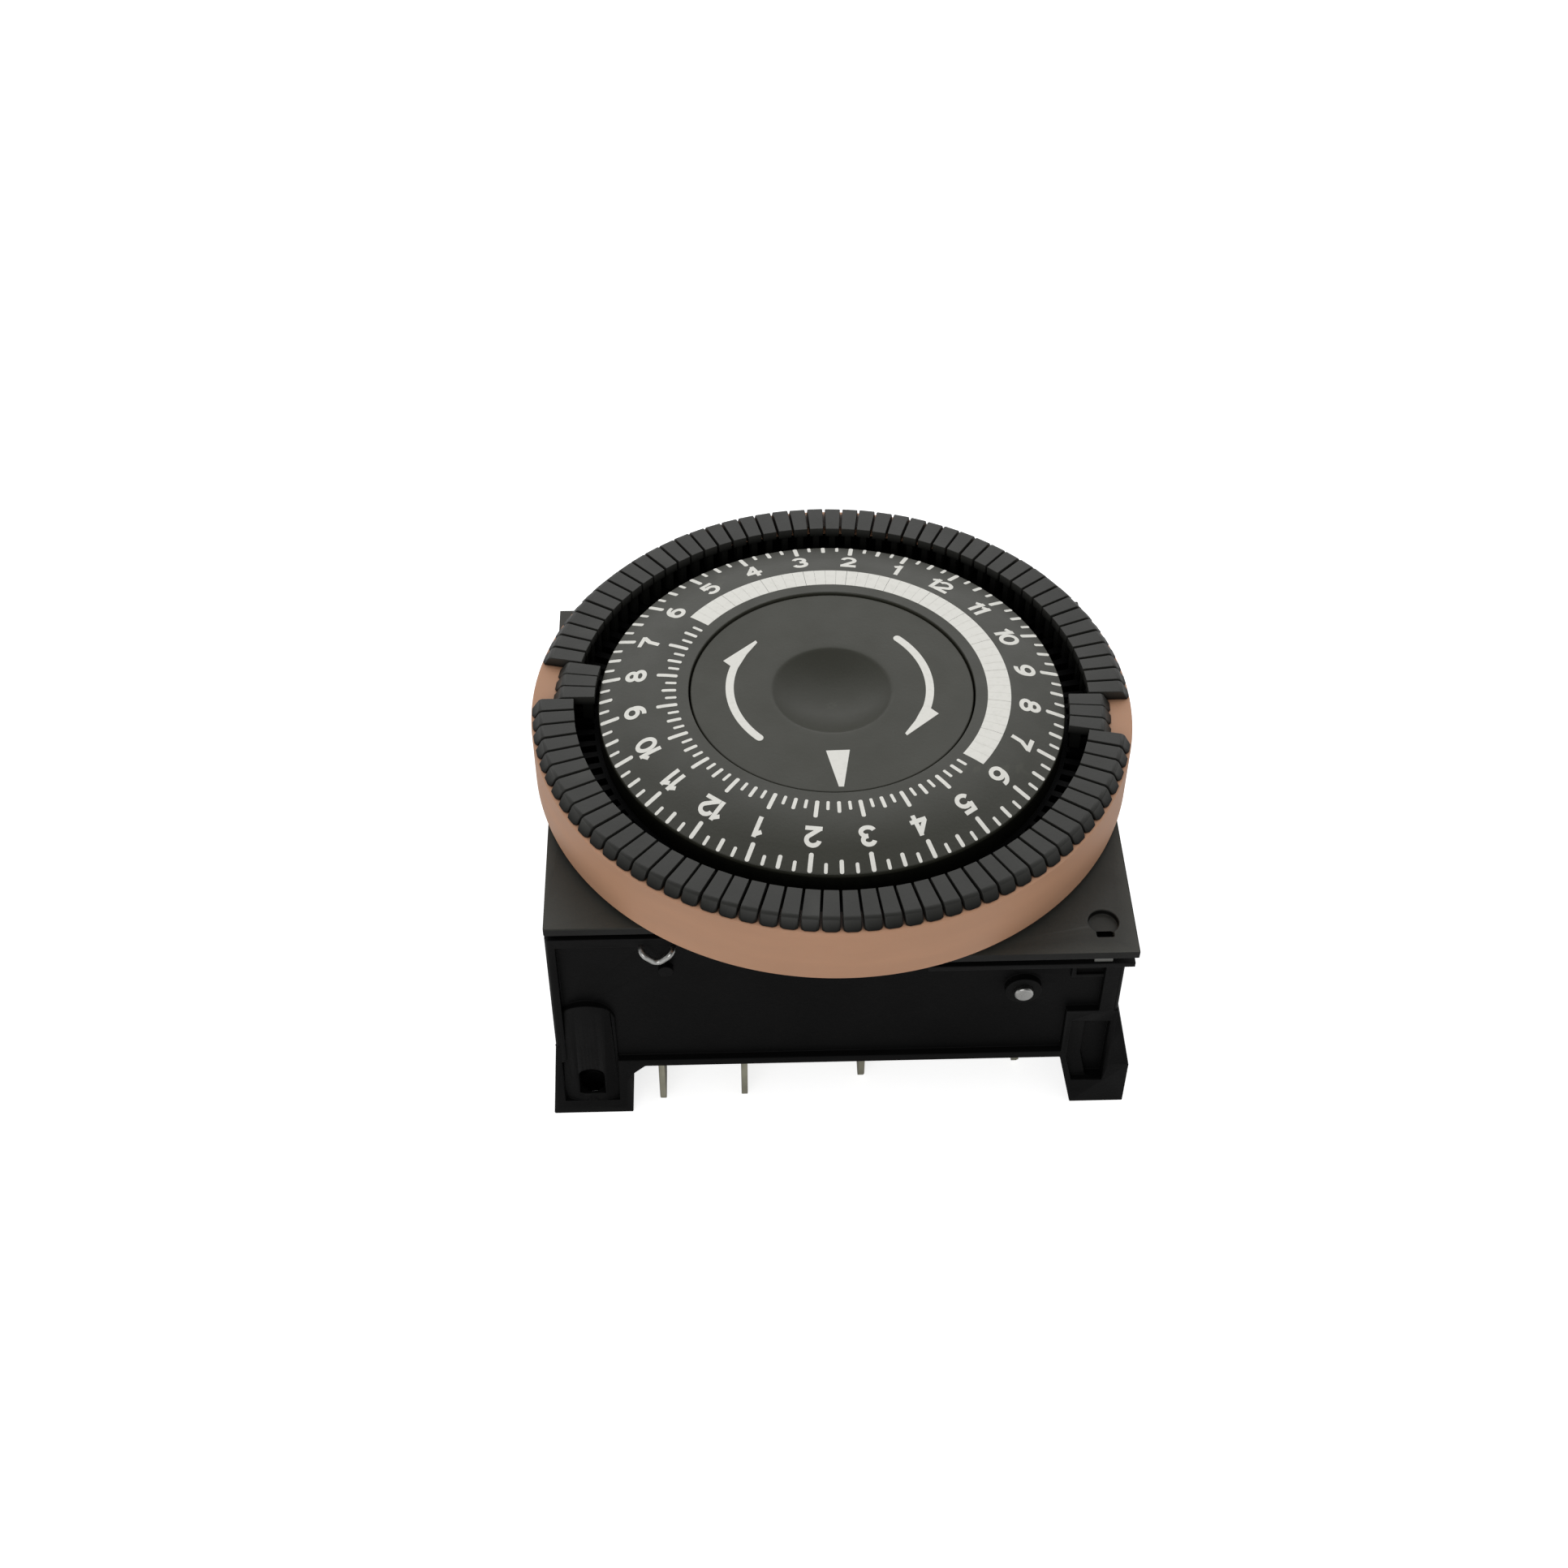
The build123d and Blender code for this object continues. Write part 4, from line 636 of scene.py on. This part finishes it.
def tripper_mesh():
    """One tripper along +X: a wedge head with a slanted tip, its edges rounded, on a flat stem."""
    neck = TRIPPER_OUTER_R - TIP_LENGTH
    slope_start = TRIPPER_OUTER_R - TIP_SLOPE
    corners = [
        (TRIPPER_INNER_R, half_width(TRIPPER_INNER_R), TRIPPER_BASE),
        (neck, half_width(neck), TRIPPER_BASE),
        (TRIPPER_OUTER_R, TIP_HALF_WIDTH, TRIPPER_BASE),
        (slope_start, half_width(slope_start), TRIPPER_TOP),
        (TRIPPER_INNER_R, half_width(TRIPPER_INNER_R), TRIPPER_TOP),
    ]
    bm = bmesh.new()
    left = [bm.verts.new((MM * r, MM * w, MM * z)) for r, w, z in corners]
    right = [bm.verts.new((MM * r, -MM * w, MM * z)) for r, w, z in corners]
    for run in ((0, 1, 2), (2, 3), (3, 4), (4, 0)):
        bm.faces.new([left[i] for i in run] + [right[i] for i in reversed(run)])
    for side in (left, right):
        bm.faces.new([side[i] for i in (0, 1, 3, 4)])
        bm.faces.new([side[i] for i in (1, 2, 3)])
    bmesh.ops.recalc_face_normals(bm, faces=bm.faces)
    round_edges(bm, [bm.edges.get((left[3], right[3]))], TIP_ROUNDING, TIP_SEGMENTS)
    crisp = [edge for edge in bm.edges if edge.calc_face_angle() > CRISP_ANGLE]
    round_edges(bm, crisp, TRIPPER_ROUNDING, EDGE_SEGMENTS, clamp=True)
    stem = bmesh.ops.create_cube(bm, size=1.0)["verts"]
    stem_top = TRIPPER_BASE + STEM_OVERLAP
    stem_size = Vector((STEM_LENGTH, STEM_WIDTH, stem_top - STEM_END))
    stem_middle = Vector((STEM_INNER_R + STEM_LENGTH / 2, 0, (stem_top + STEM_END) / 2))
    bmesh.ops.scale(bm, vec=stem_size * MM, verts=stem)
    bmesh.ops.translate(bm, vec=stem_middle * MM, verts=stem)
    bmesh.ops.recalc_face_normals(bm, faces=bm.faces)
    mesh = bpy.data.meshes.new("tripper")
    bm.to_mesh(mesh)
    bm.free()
    return mesh


def tripper_places(numbers, pushed_in):
    """Where each tripper stands, with the small looseness of a sliding fit."""
    places = []
    for number in numbers:
        turn = DIAL_TURN + PITCH_ANGLE * (number + 0.5) + random.uniform(-TURN_LOOSENESS, TURN_LOOSENESS)
        shift = (-TRIPPER_TRAVEL if pushed_in else 0) + random.uniform(*SLIDE_LOOSENESS)
        places.append(Matrix.Rotation(radians(turn), 4, "Z") @ Matrix.Translation((MM * shift, 0, 0)))
    return places


def make_trippers():
    one = tripper_mesh()
    rear = tripper_places(range(AM_FIRST_INDEX + SET_COUNT - TRIPPER_COUNT, PM_FIRST_INDEX), False)
    front = tripper_places(range(PM_FIRST_INDEX + SET_COUNT, AM_FIRST_INDEX), False)
    groups = [("trippers_rear_bank", "dial", rear), ("trippers_front_bank", "dial", front)]
    for side, first in (("pm", PM_FIRST_INDEX), ("am", AM_FIRST_INDEX)):
        for i in range(SET_COUNT):
            node = f"tripper_{side}_{i + 1}"
            groups.append((node, node, tripper_places([first + i], True)))
    for node, body, places in groups:
        bm = bmesh.new()
        for place in places:
            old = set(bm.verts)
            bm.from_mesh(one)
            bmesh.ops.transform(bm, matrix=place, verts=[v for v in bm.verts if v not in old])
        mesh = bpy.data.meshes.new(node)
        bm.to_mesh(mesh)
        bm.free()
        obj = put(mesh, "skin_" + node, TRIPPER, body, [node], 50)
        weigh_normals(obj)


# Print


class Print:
    """Thin raised print: flat shapes given in radius and angle, then bent onto a turned surface."""

    def __init__(self, height):
        self.height = height
        self.origin = (0.0, 0.0)
        self.verts, self.faces = [], []

    def point(self, radius, angle, lift):
        """Point in metres over flat ground, lifted by some millimetres."""
        x, y = self.origin
        return (MM * (x + radius * cos(angle)), MM * (y + radius * sin(angle)), MM * lift)

    def shape(self, points, faces, layer=0):
        """Adds a plate from (radius, angle) points and their faces, with walls at its open edges."""
        base, count = len(self.verts), len(points)
        self.verts += [self.point(r, a, PRINT_RISE + layer * PRINT_STEP) for r, a in points]
        self.verts += [self.point(r, a, -PRINT_SINK) for r, a in points]
        edges = {}
        for face in faces:
            self.faces.append([base + i for i in face])
            self.faces.append([base + count + i for i in reversed(face)])
            for i, j in zip(face, [*face[1:], face[0]]):
                edges[i, j] = True
        for i, j in edges:
            if (j, i) not in edges:
                self.faces.append([base + j, base + i, base + count + i, base + count + j])

    def tick(self, start, end, angle, width):
        """Radial bar with rounded corners."""
        outline = [(start, -width / 2), (end, -width / 2), (end, width / 2), (start, width / 2)]
        points = rounded(outline, [TICK_ROUNDING * width] * 4, 3)
        self.shape([(r, angle + across / r) for r, across in points], [range(len(points))])

    def arc(self, inner, outer, start, end):
        """Band between two radii, from one direction to another."""
        count = max(1, round(abs(end - start) / ARC_STEP))
        angles = [start + (end - start) * k / count for k in range(count + 1)]
        points = [(inner, a) for a in angles] + [(outer, a) for a in angles]
        rows = count + 1
        self.shape(points, [(k, rows + k, rows + k + 1, k + 1) for k in range(count)])

    def finish(self, name, body):
        """Makes the piece: long edges are cut, and every point is raised onto the surface."""
        mesh = bpy.data.meshes.new(name)
        mesh.from_pydata(self.verts, [], self.faces)
        bm = bmesh.new()
        bm.from_mesh(mesh)
        long_edges = [edge for edge in bm.edges if edge.calc_length() > MM * PRINT_REACH]
        bmesh.ops.subdivide_edges(bm, edges=long_edges, cuts=PRINT_CUTS, use_grid_fill=True)
        for vert in bm.verts:
            vert.co.z += MM * self.height(hypot(vert.co.x, vert.co.y) / MM)
        bmesh.ops.recalc_face_normals(bm, faces=bm.faces)
        bm.to_mesh(mesh)
        bm.free()
        put(mesh, name, INK, body, (), 30)


def oval(middle, size, start=0, end=360, steps=24):
    """Points on part of an ellipse, from one angle to another in degrees."""
    angles = [radians(start + (end - start) * k / steps) for k in range(steps + 1)]
    return [Vector((middle[0] + size[0] * cos(a), middle[1] + size[1] * sin(a))) for a in angles]


def line(*points):
    return [Vector(p) for p in points]


# Middle lines of the digits, which stand one unit tall about the origin
DIGIT_LINES = {
    "0": [oval((0, 0), (0.29, 0.4))],
    "1": [line((0.06, -0.5), (0.06, 0.5)), line((0.06, 0.38), (-0.2, 0.2))],
    "2": [oval((0, 0.15), (0.28, 0.25), 172, -35) + line((-0.27, -0.39)), line((-0.36, -0.4), (0.38, -0.4))],
    "3": [oval((0, 0.2), (0.25, 0.2), 165, -90), oval((0, -0.19), (0.29, 0.21), 90, -165)],
    "4": [
        line((0.13, -0.5), (0.13, 0.5)), line((0.13, 0.4), (-0.3, -0.17)),
        line((-0.37, -0.18), (0.38, -0.18)),
    ],
    "5": [line((0.32, 0.4), (-0.2, 0.4), (-0.24, 0.04)), oval((0, -0.13), (0.29, 0.27), 140, -155)],
    "6": [oval((0, -0.14), (0.28, 0.26)), oval((0.12, -0.02), (0.4, 0.42), 185, 75)],
    "7": [line((-0.36, 0.4), (0.36, 0.4)), line((0.3, 0.4), (0.0, 0.0), (-0.1, -0.5))],
    "8": [oval((0, 0.2), (0.24, 0.2)), oval((0, -0.19), (0.29, 0.21))],
    "9": [oval((0, 0.14), (0.28, 0.26)), oval((-0.12, 0.02), (0.4, 0.42), 5, -105)],
}


def ribbon(points, half):
    """Plate of a constant width along a line: its points and its faces."""
    sides = []
    for i, here in enumerate(points):
        near = points[max(i - 1, 0):i + 2]
        if i in (0, len(points) - 1) and (points[0] - points[-1]).length < SAME_POINT:
            near = [points[-2], here, points[1]]
        ways = [(b - a).normalized() for a, b in zip(near, near[1:])]
        along = sum(ways, Vector((0, 0))).normalized()
        across = Vector((-along.y, along.x))
        reach = half / max(MITRE_LIMIT, along.dot(ways[0]))
        sides.append((here + across * reach, here - across * reach))
    rows = [p for pair in sides for p in pair]
    faces = [(2 * k, 2 * k + 1, 2 * k + 3, 2 * k + 2) for k in range(len(points) - 1)]
    return rows, faces


def number_strokes(text):
    """Ribbons of a whole number, centred: digits side by side, each as wide as it is drawn."""
    strokes, pen = [], 0
    for digit in text:
        ribbons = [ribbon(points, DIGIT_STROKE / 2) for points in DIGIT_LINES[digit]]
        left = min(p.x for rows, faces in ribbons for p in rows)
        right = max(p.x for rows, faces in ribbons for p in rows)
        strokes += [([p + Vector((pen - left, 0)) for p in rows], faces) for rows, faces in ribbons]
        pen += right - left
    middle = Vector((pen / 2, 0))
    return [([p - middle for p in rows], faces) for rows, faces in strokes]


def hour_direction(hours):
    return radians(MIDNIGHT_ANGLE + HOUR_ANGLE * hours)


def make_dial_print():
    """Ticks, numbers and the white band of the day's half, cut by fine lines."""
    ink = Print(face_height)
    for quarter in range(TRIPPER_COUNT):
        hours = quarter / QUARTERS
        angle = hour_direction(hours)
        length, width = OUTER_TICKS[quarter % QUARTERS]
        ink.tick(OUTER_TICK_END - length, OUTER_TICK_END, angle, width)
        if not DAY_START <= hours <= DAY_END:
            length, width = INNER_TICKS[quarter % QUARTERS]
            ink.tick(INNER_TICK_R, INNER_TICK_R + length, angle, width)
    for hour in range(DAY_HOURS):
        direction = hour_direction(hour)
        number = (hour - 1) % HALF_DAY_HOURS + 1
        for layer, (points, faces) in enumerate(number_strokes(str(number))):
            flat = [(DIGIT_R + p.y * DIGIT_HEIGHT, p.x * DIGIT_HEIGHT) for p in points]
            ink.shape([(r, direction - across / r) for r, across in flat], faces, layer)
    outer = INNER_TICK_R + BAND_WIDTH
    for quarter in range(DAY_START * QUARTERS, DAY_END * QUARTERS):
        ends = (quarter, quarter + 1)
        gaps = [BAND_HOUR_LINE if q % QUARTERS == 0 else BAND_LINE for q in ends]
        start, end = (hour_direction(q / QUARTERS) for q in ends)
        ink.arc(INNER_TICK_R, outer, start + gaps[0] / 2 / outer, end - gaps[1] / 2 / outer)
    ink.finish("dial_print", "dial")


def make_disc_print():
    """Pointer and the two arrows around the dimple."""
    ink = Print(lambda radius: DISC_TOP)
    corners = []
    for radius, half in (POINTER_BASE, POINTER_TIP):
        for across in (-half, half):
            corners.append((hypot(radius, across), POINTER_DIRECTION + atan2(across, radius)))
    ink.shape(corners, [(0, 2, 3, 1)])
    ink.origin = ARROW_ORIGIN
    inner, outer = ARROW_R - ARROW_HALF_STROKE, ARROW_R + ARROW_HALF_STROKE
    half_circle = [pi * k / ARROW_CAP_STEPS for k in range(ARROW_CAP_STEPS + 1)]
    cap = [(ARROW_HALF_STROKE * cos(t), ARROW_HALF_STROKE * sin(t)) for t in half_circle]
    head = [
        (inner, ARROW_BARB_ROOT), (outer, ARROW_BARB_ROOT), ARROW_BARB,
        *ARROW_TIP_CORNERS, (inner, (ARROW_BARB_ROOT + ARROW_TIP) / 2),
    ]
    for turn in (0, 180):
        tail = radians(ARROW_TAIL + turn)
        ink.shape([(ARROW_R + out, tail + along / ARROW_R) for out, along in cap], [range(len(cap))])
        ink.arc(inner, outer, tail, radians(ARROW_BARB_ROOT + turn))
        ink.shape([(r, radians(a + turn)) for r, a in head], [(0, 1, 2, 5), (5, 2, 3, 4)])
    ink.finish("disc_print", "housing")


make_ring()
make_face()
make_disc()
make_trippers()
make_dial_print()
make_disc_print()

# Housing and metalwork, with the width of the rounded edges
dressed("housing_base", "housing", HOUSING, 0.12)
dressed("top_plate", "housing", PLATE, 0.15)
dressed("plate_clip", "housing", CLIP, 0.06)
dressed("front_screw", "housing", STEEL, 0.05)
dressed("lever_spring", "housing", STEEL, 0.02)
for name in ("nc", "common", "no", "line", "neutral"):
    dressed("terminal_" + name, "housing", TIN, 0.1)

# Every solid gets the finish of its slot
for part in frame["record"]["subparts"]:
    shader = CARRIER if part["node"] == "tripper_carrier" else SLOT_SHADERS[part["material_slot"]]
    data = frame["nodes"][part["node"]].data
    data.materials.clear()
    data.materials.append(shader.material)


# Stage, light and camera


def make_camera():
    a, e, roll = CAMERA_AZIMUTH, CAMERA_ELEVATION, CAMERA_ROLL
    back = Vector((sin(a) * cos(e), -cos(a) * cos(e), sin(e)))
    right = Vector((cos(a), sin(a), 0))
    up = back.cross(right)
    right, up = right * cos(roll) + up * sin(roll), up * cos(roll) - right * sin(roll)
    data = bpy.data.cameras.new("camera")
    data.lens = CAMERA_LENS
    data.clip_start = CAMERA_NEAREST
    camera = link(bpy.data.objects.new("camera", data))
    place = DIAL_CENTRE + right * VIEW_SHIFT[0] + up * VIEW_SHIFT[1] + back * CAMERA_DISTANCE
    axes = Matrix((right, up, back)).transposed().to_4x4()
    camera.matrix_world = Matrix.Translation(place * MM) @ axes
    bpy.context.scene.camera = camera


def make_floor():
    """Pale floor that reads as white to the camera and still takes the object's soft shadow."""
    shader = Shader("floor_pale", (0.9, 0.9, 0.9), 0.9, 0.0)
    shader.paint(shader.ramp(shader.noise(3.0, 2.0), (0.89, 0.89, 0.89), (0.92, 0.92, 0.92)))
    path = shader.nodes.new("ShaderNodeLightPath")
    lift = shader.times(path.outputs["Is Camera Ray"], FLOOR_LIFT)
    # Painted shade: the lift fades out near each foot's hole.
    for x, y in FOOT_HOLES:
        away = shader.nodes.new("ShaderNodeVectorMath")
        away.operation = "DISTANCE"
        away.inputs[1].default_value = (MM * x, MM * y, 0)
        shader.links.new(shader.place, away.inputs[0])
        clear = shader.mapped(away.outputs["Value"], scaled(FOOT_HOLE_REACH, MM))
        shader.links.new(lift, clear.node.inputs["To Max"])
        lift = clear
    shader.bsdf.inputs["Emission Color"].default_value = (1, 1, 1, 1)
    shader.links.new(lift, shader.bsdf.inputs["Emission Strength"])
    mesh = bpy.data.meshes.new("floor")
    sides = ((-1, -1), (1, -1), (1, 1), (-1, 1))
    mesh.from_pydata([(x * FLOOR_REACH, y * FLOOR_REACH, 0) for x, y in sides], [], [(0, 1, 2, 3)])
    mesh.materials.append(shader.material)
    link(bpy.data.objects.new("floor", mesh))


def make_world():
    """White surround for the camera and for reflections, greyer for the light that it gives."""
    world = bpy.data.worlds.new("surround")
    bpy.context.scene.world = world
    world.use_nodes = True
    nodes, links = world.node_tree.nodes, world.node_tree.links
    path = nodes.new("ShaderNodeLightPath")

    def greater(one, other):
        node = nodes.new("ShaderNodeMath")
        node.operation = "MAXIMUM"
        links.new(one, node.inputs[0])
        links.new(other, node.inputs[1])
        return node.outputs[0]

    seen = path.outputs["Is Camera Ray"]
    for kind in ("Is Glossy Ray", "Is Transmission Ray"):
        seen = greater(seen, path.outputs[kind])
    facing = nodes.new("ShaderNodeVectorMath")
    facing.operation = "DOT_PRODUCT"
    facing.inputs[1].default_value = BRIGHT_SIDE
    links.new(nodes.new("ShaderNodeTexCoord").outputs["Generated"], facing.inputs[0])
    mirrored = nodes.new("ShaderNodeMapRange")
    mirrored.inputs["From Min"].default_value = DIMMEST
    mirrored.inputs["From Max"].default_value = BRIGHTEST
    mirrored.inputs["To Min"].default_value = CAMERA_SIDE_LIGHT
    links.new(facing.outputs["Value"], mirrored.inputs["Value"])
    shown = greater(path.outputs["Is Camera Ray"], mirrored.outputs["Result"])
    level = nodes.new("ShaderNodeMapRange")
    level.inputs["To Min"].default_value = SURROUND_LIGHT
    links.new(shown, level.inputs["To Max"])
    links.new(seen, level.inputs["Value"])
    background = nodes["Background"]
    background.inputs["Color"].default_value = (1, 1, 1, 1)
    links.new(level.outputs["Result"], background.inputs["Strength"])


def make_lamps():
    for name, place, size, power in LAMPS:
        data = bpy.data.lights.new(name, "AREA")
        data.shape = "RECTANGLE"
        data.size, data.size_y = size
        data.energy = power
        lamp = link(bpy.data.objects.new(name, data))
        lamp.location = place
        aim = DIAL_CENTRE * MM - Vector(place)
        lamp.rotation_euler = aim.to_track_quat("-Z", "Y").to_euler()


make_floor()
make_world()
make_lamps()
make_camera()
bpy.context.scene.view_settings.view_transform = "Standard"
